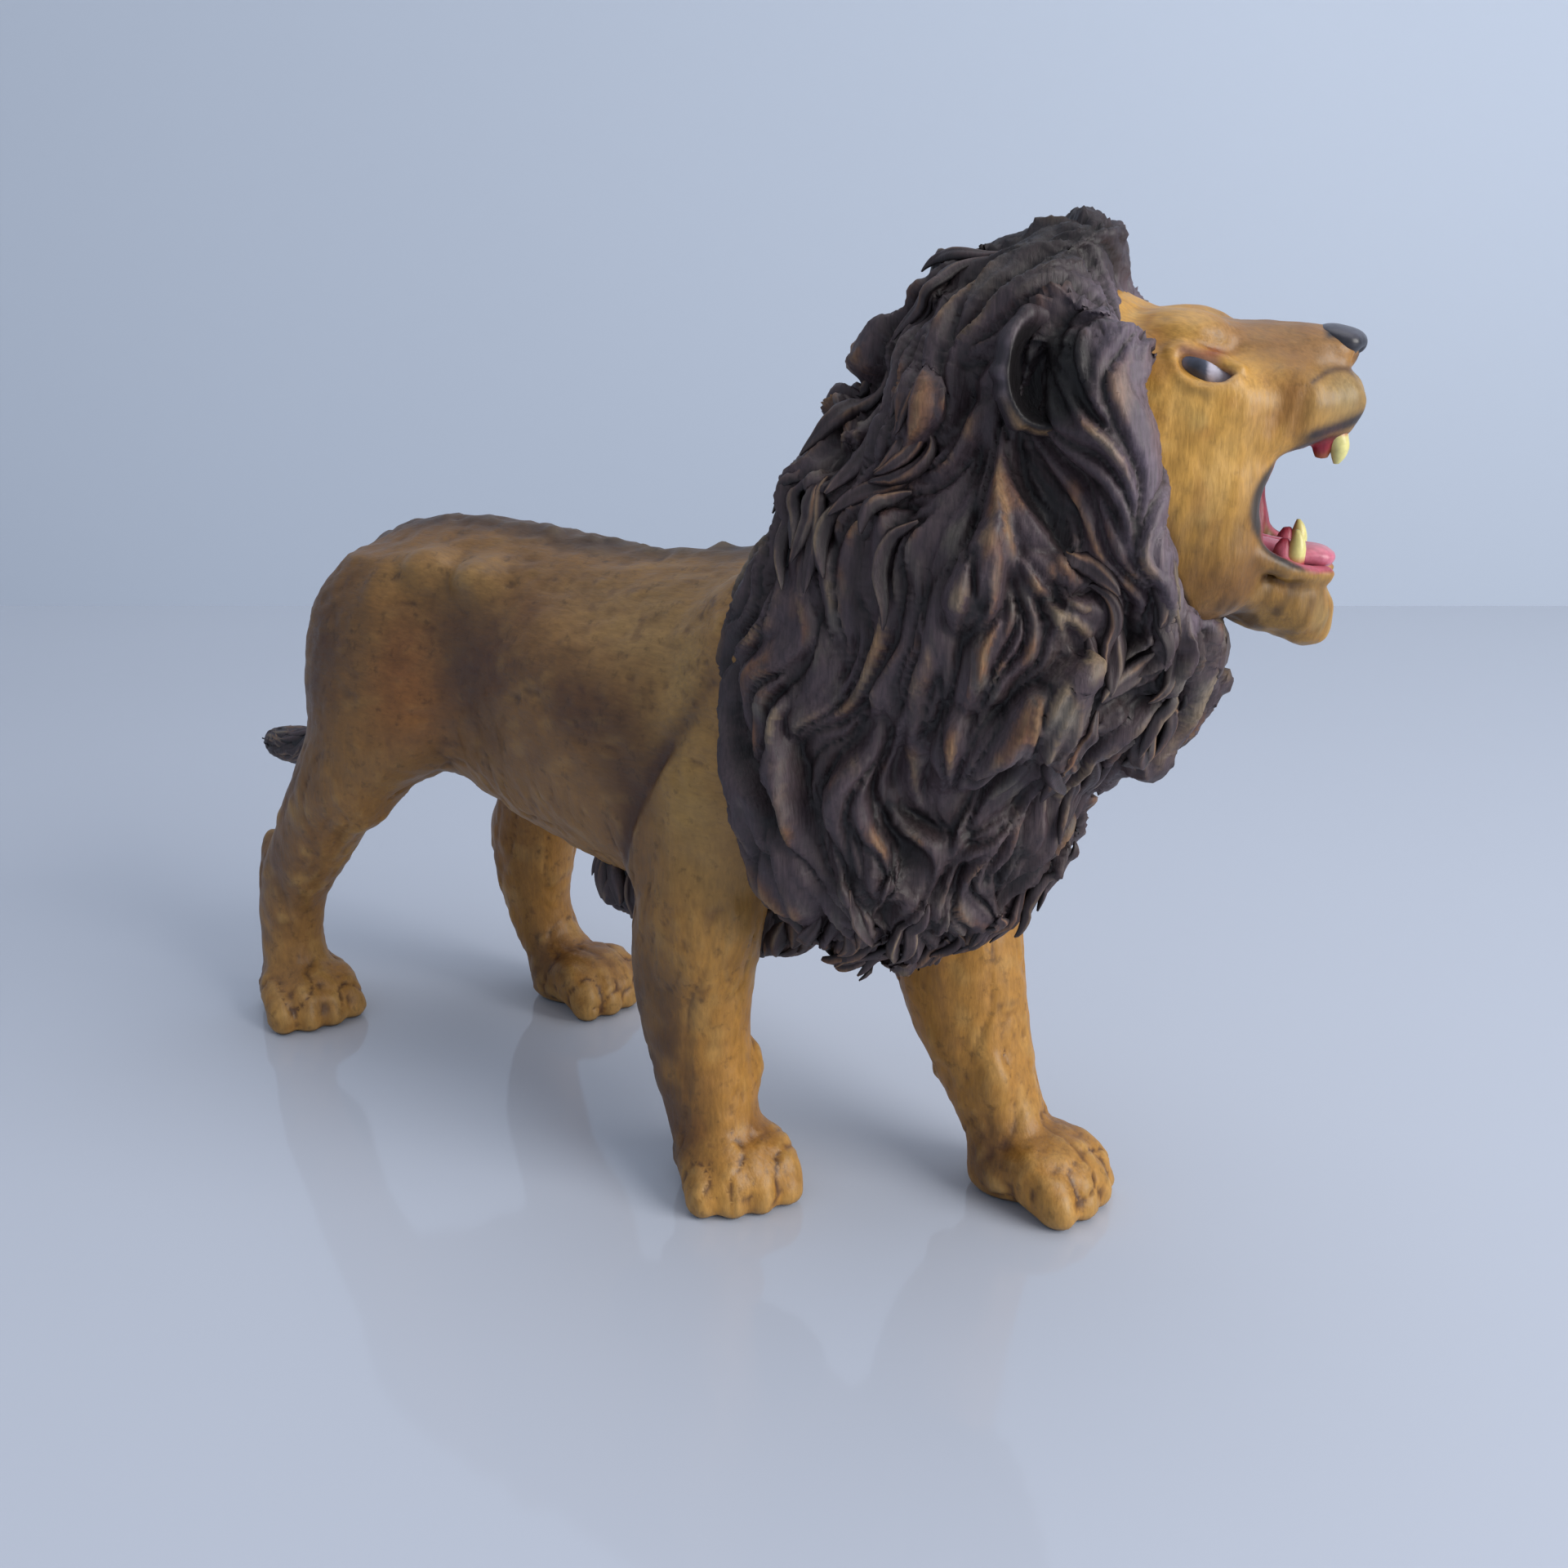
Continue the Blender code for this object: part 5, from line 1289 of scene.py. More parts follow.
                faces = faces if dense[-1, 1] > dense[0, 1] else faces[:, ::-1]
                marks = {"paint": coat.colour, "hang": np.ones(len(points))}
                name = kind + "_" + side.name.lower()
                piece = piece_from("tooth_" + name, HEAD.out(points), faces, marks)
                dress(piece, GLOSS_PAINT, (name,))


def unit(vectors: Array) -> Array:
    """Scale vectors, one on each row, to length 1."""
    return vectors / np.maximum(np.linalg.norm(vectors, axis=-1), 1e-9)[..., None]


@dataclass
class Current:
    """The run of hair over a core, kept on the core's grid.

    It falls as the hair does, stays in the core's surface, and swings from side to side by lattice
    noise, so that neighbours run together, part and meet again.

    Attributes:
        core: The block whose zero level the hair lies on.
        fall: The way the hair falls at points, before it is laid on the core.
        swing: How far it swings, in radians.
        seed: Picks the swings.
    """

    core: Block
    fall: Callable[[Array], Array]
    swing: float = 1.05
    seed: int = 5

    def __post_init__(self) -> None:
        """Work out the distance, the normal and the way at every place of the grid."""
        axes = [low + self.core.step * np.arange(count) for low, count in zip(self.core.low, self.core.counts)]
        points = np.stack(np.meshgrid(*axes, indexing="ij"), -1).reshape(-1, 3)
        self.distances = self.core.values.ravel().astype(float)
        slopes = np.gradient(self.core.values.astype(float), self.core.step)
        self.normals = unit(np.stack(slopes, -1).reshape(-1, 3))
        way = self.fall(points)
        way = unit(way - self.normals * (way * self.normals).sum(axis=1)[:, None])
        turn = lattice_noise(points / (5.5, 5.5, 7), self.seed)
        turn = self.swing * (turn + 0.6 * lattice_noise(points / 3.2, self.seed + 1))
        across = np.cross(way, self.normals)
        self.ways = way * np.cos(turn)[:, None] + across * np.sin(turn)[:, None]

    def read(self, points: Array) -> tuple[Array, Array, Array]:
        """The way, the normal and the distance at points, from the nearest place of the grid."""
        cell = np.clip(np.rint((points - self.core.low) / self.core.step).astype(int), 0, self.core.counts - 1)
        index = np.ravel_multi_index(cell.T, self.core.counts)
        normal = self.normals[index]
        offset = points - (self.core.low + cell * self.core.step)
        return self.ways[index], normal, self.distances[index] + (offset * normal).sum(axis=1)

    def comb(self, points: Array, pace: float, scales: Sequence[tuple[float, float, int]]) -> list[Array]:
        """Average lattice noise along the hair, from behind each point to ahead of it.

        Args:
            points: Places on the core.
            pace: The length of one step.
            scales: Width, reach to each end, and seed of each pattern.

        Returns:
            One pattern for each scale, with a spread of 1.
        """
        totals = [np.zeros(len(points)) for _ in scales]
        longest = int(max(reach for _, reach, _ in scales) / pace)
        for sense in (1, -1):
            place = points
            for count in range(longest + 1):
                for total, (width, reach, seed) in zip(totals, scales):
                    stride = max(1, round(0.4 * width / pace))
                    gone = count * pace / reach
                    if gone <= 1 and count % stride == 0 and (count or sense > 0):
                        total += math.cos(0.5 * math.pi * gone) ** 2 * lattice_noise(place / width, seed)
                way, normal, distance = self.read(place)
                place = place + way * (sense * pace) - normal * distance[:, None]
        return [total / total.std() for total in totals]


@dataclass
class Locks:
    """Single locks: each a flat, ridged blade that is pointed at both ends and carried along the hair.

    Attributes:
        current: The run of the hair.
        length: Mean length of a lock.
        width: Half the width of a lock.
        height: How thick a lock is.
        sink: How deep its root lies.
        rise: How high its tip lifts.
    """

    current: Current
    length: float = 13.0
    width: float = 1.5
    height: float = 0.9
    sink: float = 0.5
    rise: float = 0.9
    wave: float = 0.35
    strands: float = 1.6
    free_from: float = 0.7
    stations: int = 18
    top_points: int = 9

    def paths(self, roots: Array, reach: Array, phase: Array) -> tuple[Array, Array, Array]:
        """Walk from the roots along the hair, held to the core until the tips come free.

        Args:
            roots: Where the locks start.
            reach: The length of each lock.
            phase: Where in its own wave each lock starts.

        Returns:
            Places, directions and normals, each by station and lock.
        """
        place, heading = roots, None
        tracks = []
        for station in range(self.stations):
            run = station / (self.stations - 1)
            free = float(ramp(np.array([run]), self.free_from, 1.0)[0])
            way, normal, distance = self.current.read(place)
            place = place - normal * (distance * (1 - free))[:, None]
            swing = self.wave * np.sin(2 * math.pi * run * reach / 12.0 + phase)[:, None]
            way = way * np.cos(swing) + np.cross(way, normal) * np.sin(swing)
            heading = way if heading is None else unit(0.5 * heading + 0.5 * way)
            tracks.append((place, heading, normal))
            place = place + heading * (reach / (self.stations - 1))[:, None]
        return tuple(np.array(part) for part in zip(*tracks))

    def grow(self, roots: Array, seed: int) -> tuple[Array, Array, dict[str, Array]]:
        """Carry the blade along every path.

        Args:
            roots: Where the locks start.
            seed: Picks lengths, waves and ridges.

        Returns:
            Vertices, faces, and the marks ridge, fine and own.
        """
        count = len(roots)
        own = np.random.default_rng(seed).random((count, 4))
        places, directions, normals = self.paths(roots, self.length * (0.65 + 0.7 * own[:, 0]), 6.3 * own[:, 3])
        run = np.linspace(0, 1, self.stations)
        swell = np.sin(math.pi * np.clip(0.03 + 0.95 * run, 0, 1)) ** 0.8
        width = self.width * (0.7 + 0.6 * own[:, 1])[None] * swell[:, None] + 0.05
        height = self.height * (0.7 + 0.6 * own[:, 2])[None] * swell[:, None] + 0.03
        lift = (-self.sink + (self.sink + self.rise) * run ** 1.4)[:, None, None]
        side = unit(np.cross(directions, normals))
        over = np.cross(side, directions)
        across = np.concatenate([np.linspace(-1, 1, self.top_points), [0.35, -0.35, -0.7]])
        upper = np.arange(len(across)) < self.top_points
        dome = 1 - np.abs(across) ** 2.2
        phase = 2 * own[None, :, 3, None] - 1 + 0.8 * run[:, None, None]
        ridges = 0.5 + 0.5 * np.cos(math.pi * (self.strands * across[None, None] + phase))
        rise = height[..., None] * np.where(upper, dome * (0.65 + 0.35 * ridges), -0.5 * dome) + lift
        points = places[:, :, None] + side[:, :, None] * (width[..., None] * across)[..., None]
        points = points + over[:, :, None] * rise[..., None]
        ridge = np.where(upper, 0.15 + 0.85 * dome, 0.0) * (0.45 + 0.55 * ridges)
        own_mark = np.broadcast_to(own[None, :, 3, None], ridge.shape)
        marks = {
            "ridge": np.swapaxes(ridge, 0, 1).reshape(-1),
            "fine": np.swapaxes(2 * ridges - 1, 0, 1).reshape(-1),
            "own": np.swapaxes(own_mark, 0, 1).reshape(-1),
        }
        ring = len(across)
        faces = tube_faces(self.stations, ring)[None] + (np.arange(count) * self.stations * ring)[:, None, None]
        return np.swapaxes(points, 0, 1).reshape(-1, 3), faces.reshape(-1, 4)[:, ::-1], marks


def thin_out(points: Array, spacing: float, seed: int) -> Array:
    """Keep about one point in each cube of the spacing: the first after a shuffle.

    Args:
        points: Many points on a surface.
        spacing: The cube's size.
        seed: Picks the shuffle.

    Returns:
        The kept points.
    """
    order = np.random.default_rng(seed).permutation(len(points))
    shuffled = points[order]
    keys = np.floor(shuffled / spacing).astype(int)
    _, first = np.unique(keys, axis=0, return_index=True)
    return shuffled[np.sort(first)]


def paint_hair(points: Array, marks: dict[str, Array], plain: Array) -> Array:
    """Aubergine-brown hair, with painted shade near black in the grooves, dry-brushed with grey, olive and rust on the
    ridges.

    Args:
        points: The vertices.
        marks: How high each vertex lies on its ridge (ridge), on its strand (fine), and a value that
            differs from lock to lock (own).
        plain: Where the hair is painted in shade toward the rear of the mane, and the dry-brushed ridges fade, from 0
            to 1.

    Returns:
        Linear colours.
    """
    ridge, fine, own = marks["ridge"], marks["fine"], marks["own"]
    coat = Palette.ground("#382c2e", len(points))
    patch = 0.5 + 0.5 * mottle(points, 8.0, 82)
    small = 0.5 + 0.5 * mottle(points / (1, 1, 2.6), 1.6, 83)
    # Toward the rear of the mane the dry-brushed ridges fade, as painted shade
    brushed = 1 - plain
    # Painted shade in the grooves: near black where the ridge is low, over the dark ground
    coat.wash("#141013", 0.88 * (1 - ramp(ridge, 0.08, 0.5)))
    top = ramp(ridge + 0.12 * fine, 0.45, 0.95) * brushed
    coat.wash("#4c3f45", 0.55 * top)
    coat.wash("#6b6459", 0.55 * top * ramp(small * patch + 0.1 * fine, 0.30, 0.5))
    warm = ramp(0.3 * own + 0.7 * (0.5 + 0.5 * mottle(points, 3.2, 84)), 0.42, 0.66)
    coat.wash("#7c5233", 0.75 * ramp(ridge + 0.45 * fine, 0.90, 1.35) * brushed * warm * ramp(small, 0.35, 0.6))
    coat.wash("#a08560", 0.38 * ramp(ridge + 0.6 * fine, 1.25, 1.65) * brushed * ramp(small, 0.3, 0.6))
    coat.wash("#857c6c", 0.22 * ramp(ridge, 0.85, 1.1) * brushed * ramp(small, 0.5, 0.8) * (1 - warm))
    return coat.colour


@dataclass
class Mane:
    """The mane: a combed mass with wavy relief and single locks, from the face's edge to the chest."""

    step: float = 0.64
    # Middles and half sizes of the core's masses
    masses: Rows = (
        ((49.4, 1.7, 77.3), (11.6, 11.5, 12.9)), ((43.6, 0, 73.0), (10.2, 11.4, 12.8)),
        ((45.0, 0, 61.1), (15.0, 15.0, 18.0)), ((35.6, -6.5, 53.7), (9.4, 9.2, 22.8)),
        ((35.6, 6.5, 53.7), (9.4, 9.2, 22.8)), ((35.0, -7.1, 43.6), (9.3, 8.4, 15.6)),
        ((35.9, 7.1, 43.6), (9.0, 8.4, 15.4)), ((45.6, 0, 54.9), (15.8, 14.0, 9.9)),
        ((38.6, -1, 38.4), (11.0, 10.1, 10.5)), ((46.0, -0.7, 41.5), (6.4, 8.9, 6.5)),
        ((30.6, 0, 61.5), (9.1, 8.4, 7.0)), ((42.2, -1.4, 84.2), (4.0, 5.2, 3.6)),
        ((39.2, -1.6, 80.9), (3.1, 4.7, 3.1)), ((49.2, 0, 84.2), (5.2, 7.0, 4.1)),
        ((31.2, -11.8, 51.4), (5.9, 4.9, 12.8)), ((31.2, 11.8, 51.4), (5.9, 4.9, 12.8)),
    )
    # The collar beside the face and under the chin, in the head's directions
    collar: Rows = (
        ((5.4, 8.2, 79.5), (4.6, 3.4, 6.4)), ((6.4, 8.8, 72.5), (4.6, 3.4, 7.5)),
        ((8.0, 8.4, 65.5), (4.8, 3.6, 7.0)), ((9.0, 5.0, 59.0), (5.5, 5.0, 4.5)),
    )
    # Where hair meets face: height, and how far ahead the edge lies there
    edge: Rows = (
        (56.0, 15.4), (62.4, 13.9), (66.0, 12.3), (69.5, 10.8), (73.0, 10.0), (77.6, 9.4), (81.0, 7.6),
        (84.0, 6.6), (86.5, 6.2), (90.0, 5.9), (94.0, 5.8),
    )
    ear: tuple[float, float, float] = (2.4, 10.6, 79.0)
    # How far each half reaches over the middle
    lap: float = 0.7

    def edges(self, points: Array) -> Array:
        """True where the mass ends in free tufts: down the nape, along its foot and under the chin."""
        own = HEAD.into(points)
        nape = (points[:, 0] < 45) & (points[:, 2] > 68)
        collar = (own[:, 0] > 4) & (points[:, 2] < 67)
        return nape | collar | (points[:, 2] < 38)

    def mould(self) -> Block:
        """Blend the masses and the tufts, cut the room for the face and hollow the ears."""
        block = Block((12, -22, 16), (70, 22, 96), self.step)
        for middle, half in self.masses:
            block.add(ball(middle, half), 2.6)
        for middle, half in self.collar:
            for sign in (-1, 1):
                place = HEAD.out(np.array([middle]) * (1, sign, 1))[0]
                block.add(ball(place, half, HEAD.turn), 2.0)
        seats = thin_out(block.surface().vertices, 5.6, 31)
        seats = seats[self.edges(seats) & ((seats[:, 0] > 29) | (seats[:, 2] > 38))]
        swell = np.random.default_rng(32).uniform(0.75, 1.25, len(seats))
        swell = swell * (1 - 0.5 * ramp(seats[:, 2], 81, 85))
        swell = swell * (1 - 0.3 * ramp(seats[:, 0], 42, 47) * (1 - ramp(seats[:, 2], 67, 70)))
        for seat, inward, size in zip(seats, block.slope(seats), swell):
            block.add(ball(seat - 1.0 * size * inward, np.array([2.1, 2.1, 2.4]) * size), 0.55)
        block.carve(Form(self.face, np.array([40, -22, 60]), np.array([70, 22, 96])), 1.2)
        throat = HEAD.out(np.array([[14.8, 0, 69.3]]))[0]
        block.carve(ball(throat, (8.2, 5.3, 5.4), HEAD.turn), 0.3)
        for sign in (-1, 1):
            block.carve(Ears().hollow(sign), 0.6)
        return block

    def face(self, x: Array, y: Array, z: Array) -> Array:
        """The room in front of the hair's edge, as a distance."""
        cosine, sine = math.cos(math.radians(HEAD.turn)), math.sin(math.radians(HEAD.turn))
        ahead = (x - HEAD.base[0]) * cosine + (y - HEAD.base[1]) * sine
        aside = (y - HEAD.base[1]) * cosine - (x - HEAD.base[0]) * sine
        temple = ramp(z, 78, 80.5) * (1 - ramp(z, 80.5, 82.5))
        prow = (0.085 * ramp(z, 83.5, 86.5) - 0.04 * temple) * aside ** 2
        return np.maximum(ease_table(np.array(self.edge), z)[0] - prow - ahead, 60.5 - z)

    def fall(self, points: Array) -> Array:
        """The fall of the hair: back from the brow, down beside the face, and down the neck and chest."""
        own = HEAD.into(points)
        origin = HEAD.out(np.zeros((1, 3)))
        ahead, aside = (HEAD.out(np.array([axis])) - origin for axis in ((1.0, 0, 0), (0, 1.0, 0)))
        radius = np.hypot(own[:, 1], own[:, 2] - 71.5)
        close = np.exp(-np.maximum(radius - 10, 0) / 9) * ramp(own[:, 0], -14, 4)
        high = ramp(own[:, 2], 76, 86)
        top, cheek = (high * close)[:, None], ((1 - high) * close)[:, None]
        sign = np.sign(own[:, 1])[:, None]
        up = np.array([[0, 0, 1.0]])
        brow = (ramp(own[:, 0], 0.5, 4.5) * ramp(own[:, 2], 80, 83))[:, None]
        crown = -ahead * (0.9 - 0.5 * brow) + up * (0.1 + 1.2 * brow) + aside * sign * 0.35
        beside = -up + ahead * 0.30 + aside * sign * 0.1
        loose = -up - np.array([[0.22, 0, 0]])
        return crown * top + beside * cheek + loose * (1 - top - cheek)

    def margin(self, points: Array) -> Array:
        """How far behind the face's edge points lie, beside and above the face."""
        own = HEAD.into(points)
        gap = ease_table(np.array(self.edge), own[:, 2])[0] - own[:, 0]
        return np.where(own[:, 2] > 60, gap, FAR)

    def relief(self, current: Current, points: Array) -> tuple[Array, dict[str, Array]]:
        """Comb the surface: broad clumps, ribbons between creases, and strands on them.

        Args:
            current: The run of the hair.
            points: Places on the core.

        Returns:
            How far each place rises, and the marks for the paint.
        """
        clump, ribbon, strand = current.comb(points, 0.6, ((3.4, 11.0, 101), (1.3, 8.5, 102), (0.62, 5.0, 103)))
        broad = 1 - np.exp(-np.abs(clump) / 0.60)
        ridge = 1 - np.exp(-np.abs(ribbon) / 0.55)
        fine = np.clip(strand, -2, 2) / 2
        # The rear of the mane: combed flatter, and painted in shade
        plain = ramp(-points[:, 0], -30, -23)
        rim = np.exp(-(self.margin(points) / 2.6) ** 2)
        calm = (1 - 0.55 * plain) * (1 - 0.4 * rim)
        height = 1.25 * broad + 0.55 * np.clip(clump, -2, 2) + 1.55 * ridge * (0.5 + 0.5 * broad) + 0.46 * fine
        height += 0.9 * mottle(points, 6.0, 104) + 0.25 * mottle(points, 1.6, 105)
        marks = {
            "ridge": ridge * (0.35 + 0.65 * broad) * 1.45,
            "fine": fine,
            "own": np.clip(0.5 + 0.25 * ribbon, 0, 1),
            "plain": np.maximum(plain, 0),
            "rim": rim,
        }
        return (height - 1.95) * calm - 0.1, marks

    def paint(self, points: Array, marks: dict[str, Array]) -> Array:
        """The dry-brushed hair, with a grey-mauve band along the face's edge and painted shade toward its rear."""
        coat = Palette(paint_hair(points, marks, 0.7 * marks["plain"]))
        # Painted shade toward the rear of the mane, and darker over the crown
        coat.wash("#1b1518", 0.72 * np.maximum(marks["plain"], ramp(points[:, 2], 81, 88)))
        band = 0.75 * marks["rim"] * ramp(marks["ridge"], 0.2, 0.8)
        coat.wash("#655a66", band * (1 - 0.7 * ramp(points[:, 2], 84, 87)))
        own = HEAD.into(points)
        for side in BOTH:
            coat.wash("#0e0b0d", 0.9 * (1 - ramp(Ears().depth(own, side.value), -0.6, 0.5)))
        return coat.colour

    def build(self) -> None:
        """Make the combed mass in two halves, and the single locks on it."""
        block = self.mould()
        current = Current(block, self.fall)
        dense = block.finer(2)
        middle = dense.low[1] + dense.step * np.arange(dense.counts[1])
        for side in BOTH:
            half = copy.copy(dense)
            cut = (-side.value * middle - self.lap)[None, :, None]
            half.values = np.maximum(dense.values, cut).astype(np.float32)
            skin = half.surface()
            skin.relax(2)
            points = skin.vertices
            _, normal, distance = current.read(points)
            height, marks = self.relief(current, points)
            height = height * ramp(distance, -2.6, -1.2)
            skin.vertices = points + normal * height[:, None]
            skin.relax(1)
            colour = self.paint(skin.vertices, marks)
            name = "mane_" + side.name.lower()
            solids = ("mane",) if side is Side.RIGHT else ()
            piece = piece_from(name, skin.vertices, skin.faces, {"paint": colour, "hang": np.ones(len(points))})
            dress(piece, MANE_PAINT, solids)
        self.build_locks(block, current)

    def roots(self, block: Block, spacing: float, seed: int) -> Array:
        """Roots over the part of the core that shows, clear of the ears, the face and the trunk."""
        points = thin_out(block.surface().vertices, spacing, seed)
        own = HEAD.into(points)
        ears = np.hypot(own[:, 0] - self.ear[0], own[:, 2] - self.ear[2])
        clear = ~((ears < 5.0) & (np.abs(own[:, 1]) > 5))
        skull = Head(step=0.9).mould()[1].sample(own) > 0.2
        trunk = BodySkin(step=1.4).mould().sample(points) > 0.4
        return points[clear & skull & trunk]

    def build_locks(self, block: Block, current: Current) -> None:
        """Make the single locks: half sunk in the mass, with free tips that break up its outline."""
        roots = self.roots(block, 4.4, 12)
        roots = roots[self.edges(roots)]
        locks = Locks(current, length=8.0, width=0.75, height=0.8, sink=0.9, rise=0.3)
        points, faces, marks = locks.grow(roots, 12)
        # Painted shade on the locks toward the rear of the mane
        plain = 0.7 * ramp(-points[:, 0], -27, -21)
        colour = paint_hair(points, marks, plain)
        piece = piece_from("mane_locks", points, faces, {"paint": colour, "hang": np.ones(len(points))})
        dress(piece, MANE_PAINT, ())


@dataclass
class Ears:
    """Round ears: an upright bowl open to the front and outwards, with a swollen, combed rim."""

    place: tuple[float, float, float] = (1.4, 10.4, 79.0)
    facing: float = 58.0

    def depth(self, own: Array, sign: int) -> Array:
        """How far points, in the head's directions, lie outside the hollow of an ear."""
        turn = math.radians(self.facing * sign)
        out = np.array([math.cos(turn), math.sin(turn), 0])
        offset = own - (np.array(self.place) * (1, sign, 1) + out * 2.2)
        side = offset @ np.array([-out[1], out[0], 0])
        return (np.sqrt((offset @ out / 3.6) ** 2 + (side / 2.9) ** 2 + (offset[:, 2] / 3.8) ** 2) - 1) * 3.0

    def hollow(self, sign: int) -> Form:
        """The part of the bowl that the hair leaves open, low and to the rear, in the figure's directions."""
        turn = self.facing * sign
        out = np.array([math.cos(math.radians(turn)), math.sin(math.radians(turn)), 0])
        place = np.array(self.place) * (1, sign, 1) + out * 2.4 + (-1.0, 0, -0.6)
        return ball(HEAD.out(place[None])[0], (3.8, 1.9, 2.5), turn + HEAD.turn)

    def build(self) -> None:
        """Hollow a ball into a bowl for each ear, comb its rim and paint its inside near black."""
        for side in BOTH:
            sign = side.value
            place = np.array(self.place) * (1, sign, 1)
            turn = self.facing * sign
            out = np.array([math.cos(math.radians(turn)), math.sin(math.radians(turn)), 0])
            block = Block(place - 8, place + 8, 0.25)
            block.add(ball(place, (2.9, 3.7, 4.7), turn), 0.1)
            block.carve(ball(place + out * 2.2 + (0, 0, 0.1), (3.6, 2.9, 3.8), turn), 0.5)
            block.carve(ball(place + (3.6, 1.0 * sign, 2.6), (3.4, 5.0, 5.2), turn), 1.0)
            skin = block.surface()
            skin.relax(2)
            points = skin.vertices
            offset = points - place
            spin = np.arctan2(offset[:, 2], offset @ np.array([-out[1], out[0], 0]))
            around = np.column_stack([np.cos(spin) * 3.4, np.sin(spin) * 3.4, 0.15 * (offset @ out)])
            comb = lattice_noise(around / 0.8, 95)
            ahead = offset @ out
            inside = 1 - ramp(self.depth(points, sign), 0.15, 0.55)
            skin.vertices = points + skin.normals() * (0.28 * comb * (1 - inside))[:, None]
            coat = Palette.ground("#33292e", len(points))
            rim = ramp(ahead, 0.3, 1.6) * (1 - inside)
            coat.wash("#6b6066", 0.85 * rim)
            coat.wash("#94723f", 0.85 * rim * ramp(-points[:, 2], -78.0, -75.5))
            coat.wash("#1c1619", 0.5 * (1 - ramp(comb, -0.8, 0.0)) * (1 - inside))
            coat.wash("#0f0c0e", 0.9 * inside)
            name = side.name.lower()
            marks = {"paint": coat.colour, "hang": np.ones(len(points))}
            piece = piece_from("ear_bowl_" + name, HEAD.out(skin.vertices), skin.faces, marks)
            dress(piece, MANE_PAINT, ("ear_" + name,))


@dataclass
class Tufts:
    """The dark fringe below the chest and the brush at the end of the tail."""

    fringe: Rows = (
        ((2.6, -1.5, 26.6), (4.4, 4.0, 4.4)), ((8.4, -0.8, 25.6), (6.0, 3.9, 4.2)), ((18.4, 0, 26.2), (7.2, 3.9, 4.4)),
    )
    brush: Rows = (
        (-58.4, 3.5, 28.6, 1.4), (-60.4, 3.5, 27.4, 1.9), (-63.0, 3.5, 26.7, 2.2), (-66.5, 3.5, 26.2, 2.0),
        (-69.0, 3.5, 26.0, 1.6), (-70.2, 3.5, 26.0, 1.0),
    )

    def build(self) -> None:
        """Make both, each a core with locks on it."""
        block = Block((-6, -8, 14), (32, 8, 36), 0.5)
        for middle, half in self.fringe:
            block.add(ball(middle, half), 2.0)
        self.build_tuft("belly_fringe", block, lambda points: np.tile([-0.35, 0.0, -1.0], (len(points), 1)),
                        {"length": 6.5, "width": 1.1, "height": 0.7, "rise": 0.6}, 2.3, 14, "belly_mane")
        block = Block((-76, -2, 20), (-54, 9, 34), 0.4)
        block.add(rope(self.brush, 14), 0.5)
        self.build_tuft("tail_brush", block, lambda points: np.tile([-1.0, 0.0, -0.12], (len(points), 1)),
                        {"length": 6.5, "width": 0.75, "height": 0.45, "sink": 0.3, "rise": 0.25}, 1.8, 15, "tail_tuft")

    def build_tuft(self, name: str, block: Block, flow: Callable[[Array], Array], sizes: dict[str, float],
                   spacing: float, seed: int, solid: str) -> None:
        """Make a core and its locks as one piece."""
        skin = block.surface()
        skin.relax(1)
        locks = Locks(Current(block, flow, 0.45), **sizes)
        points, faces, marks = locks.grow(thin_out(skin.vertices, spacing, seed), seed)
        colour = paint_hair(points, marks, np.zeros(len(points)))
        dark = Palette.ground("#19141a", len(skin.vertices)).colour
        points = np.concatenate([points, skin.vertices])
        faces = np.concatenate([faces, skin.faces + len(points) - len(skin.vertices)])
        paint = np.concatenate([colour, dark])
        piece = piece_from(name, points, faces, {"paint": paint, "hang": np.ones(len(points))})
        dress(piece, MANE_PAINT, (solid,))


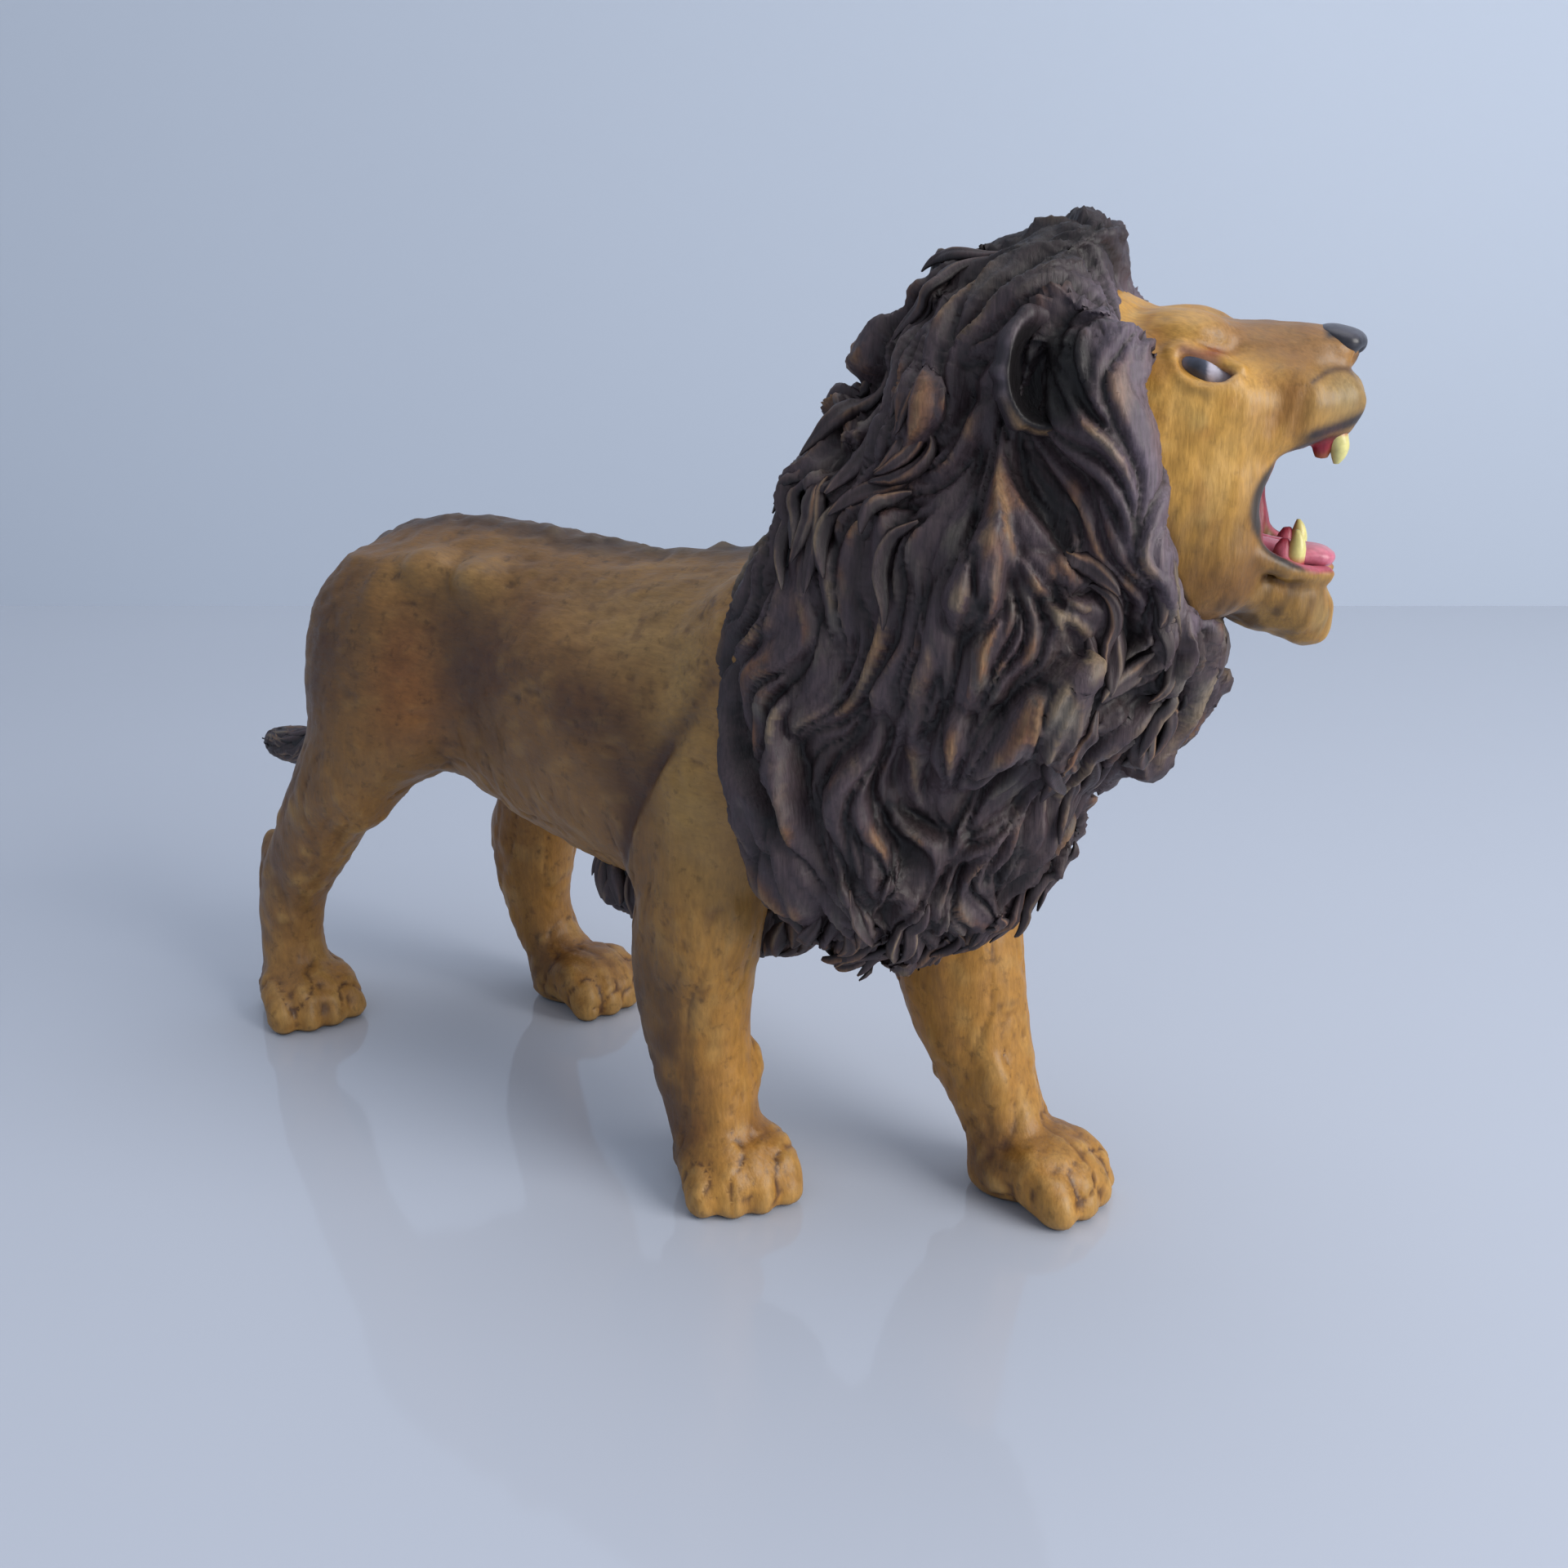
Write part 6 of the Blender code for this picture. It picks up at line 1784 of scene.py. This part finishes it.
@dataclass
class Studio:
    """Floor, wall, lamps, world and camera, as in the photograph.

    Attributes:
        eye: The camera's place.
        heading: The level direction that it looks along.
        pitch: How far it looks down, in degrees.
        lens: Focal length for a 36 mm sensor.
        wall: How far the wall lies from the camera, along the heading.
    """

    eye: tuple[float, float, float] = (116.1, -114.6, 86.0)
    heading: tuple[float, float] = (-0.6386, 0.7695)
    pitch: float = 17.48
    lens: float = 37.5
    wall: float = 432.0

    def surface(self, name: str, hex_colour: str, roughness: float) -> bpy.types.Material:
        """A pale, even surface with the faintest grain."""
        made = bpy.data.materials.new(name)
        made.use_nodes = True
        tree = made.node_tree
        tree.nodes.clear()
        coords = add_node(tree, "ShaderNodeTexCoord", {}, {}).outputs["Object"]
        grain = add_node(
            tree, "ShaderNodeTexNoise", {"Scale": 3.0, "Detail": 2.0}, {"Vector": coords}
        ).outputs["Fac"]
        colour = linear(hex_colour)
        soft = add_node(tree, "ShaderNodeMapRange", {"To Min": 0.94, "To Max": 1.05}, {"Value": grain})
        tint = add_node(
            tree, "ShaderNodeVectorMath", {"operation": "SCALE", 0: tuple(colour)},
            {"Scale": soft.outputs["Result"]},
        )
        shader = add_node(
            tree, "ShaderNodeBsdfPrincipled", {"Roughness": roughness, "IOR": 1.45},
            {"Base Color": tint.outputs["Vector"]},
        )
        add_node(tree, "ShaderNodeOutputMaterial", {}, {"Surface": shader.outputs["BSDF"]})
        return made

    def sheet(self, name: str, corners: Array, finish: bpy.types.Material) -> bpy.types.Object:
        """A flat sheet through four corners, with its finish."""
        mesh = bpy.data.meshes.new(name)
        mesh.from_pydata((corners * MM).tolist(), [], [(0, 1, 2, 3)])
        mesh.materials.append(finish)
        shape = bpy.data.objects.new(name, mesh)
        bpy.context.scene.collection.objects.link(shape)
        return shape

    def build(self) -> None:
        """Set up the stage, the light and the camera."""
        ahead = np.array([*self.heading, 0.0])
        across = np.array([ahead[1], -ahead[0], 0.0])
        foot = np.array([self.eye[0], self.eye[1], 0]) + ahead * self.wall
        near_edge = foot - ahead * 1400
        span = across * 1500
        floor = np.array([near_edge - span, near_edge + span, foot + span, foot - span])
        self.sheet("table", floor, self.surface("glazed_table", "#c0c7d6", 0.07))
        rise = np.array([0, 0, 1500.0])
        wall = np.array([foot - span, foot + span, foot + span + rise, foot - span + rise])
        backdrop = self.sheet("wall", wall, self.surface("painted_wall", "#c0cad9", 0.9))
        backdrop.visible_shadow = False
        backdrop.visible_diffuse = False
        self.light(across, ahead)
        camera = bpy.data.objects.new("camera", bpy.data.cameras.new("camera"))
        bpy.context.scene.collection.objects.link(camera)
        camera.location = Vector(self.eye) * MM
        camera.data.lens = self.lens
        camera.data.sensor_width = 36.0
        camera.data.clip_start = 0.005
        look = Vector((*self.heading, -math.tan(math.radians(self.pitch))))
        camera.rotation_euler = look.to_track_quat("-Z", "Y").to_euler()
        bpy.context.scene.camera = camera
        bpy.context.scene.view_settings.view_transform = "Standard"

    def light(self, across: Array, ahead: Array) -> None:
        """A window to the right and behind, a weak fill, and a pale even sky."""
        middle = Vector((10, 0, 40)) * MM
        lamps = (
            ("window", across * 450 - ahead * 320 + np.array([0, 0, 270]), 3.1, 420.0, (1.0, 0.97, 0.93)),
            ("ceiling", across * 60 + ahead * 40 + np.array([0, 0, 640]), 1.1, 640.0, (1.0, 1.0, 1.0)),
        )
        for name, place, power, size, tint in lamps:
            lamp = bpy.data.lights.new(name, "AREA")
            lamp.shape = "DISK"
            lamp.size = size * MM
            lamp.energy = power
            lamp.color = tint
            holder = bpy.data.objects.new(name, lamp)
            holder.location = Vector(place) * MM
            holder.rotation_euler = (middle - holder.location).to_track_quat("-Z", "Y").to_euler()
            bpy.context.scene.collection.objects.link(holder)
        world = bpy.data.worlds.new("even_sky")
        world.use_nodes = True
        tree = world.node_tree
        tree.nodes.clear()
        tint = (*linear("#ccd5e2"), 1)
        sky = add_node(tree, "ShaderNodeBackground", {"Color": tint, "Strength": 0.64}, {})
        add_node(tree, "ShaderNodeOutputWorld", {}, {"Surface": sky.outputs["Background"]})
        bpy.context.scene.world = world


def main() -> None:
    """Build the figure and its studio."""
    logging.basicConfig(level=logging.INFO, format="%(name)s: %(message)s")
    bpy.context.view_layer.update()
    BodySkin().build()
    Mane().build()
    Ears().build()
    Head().build()
    Tufts().build()
    Studio().build()


if __name__ == "__main__":
    main()
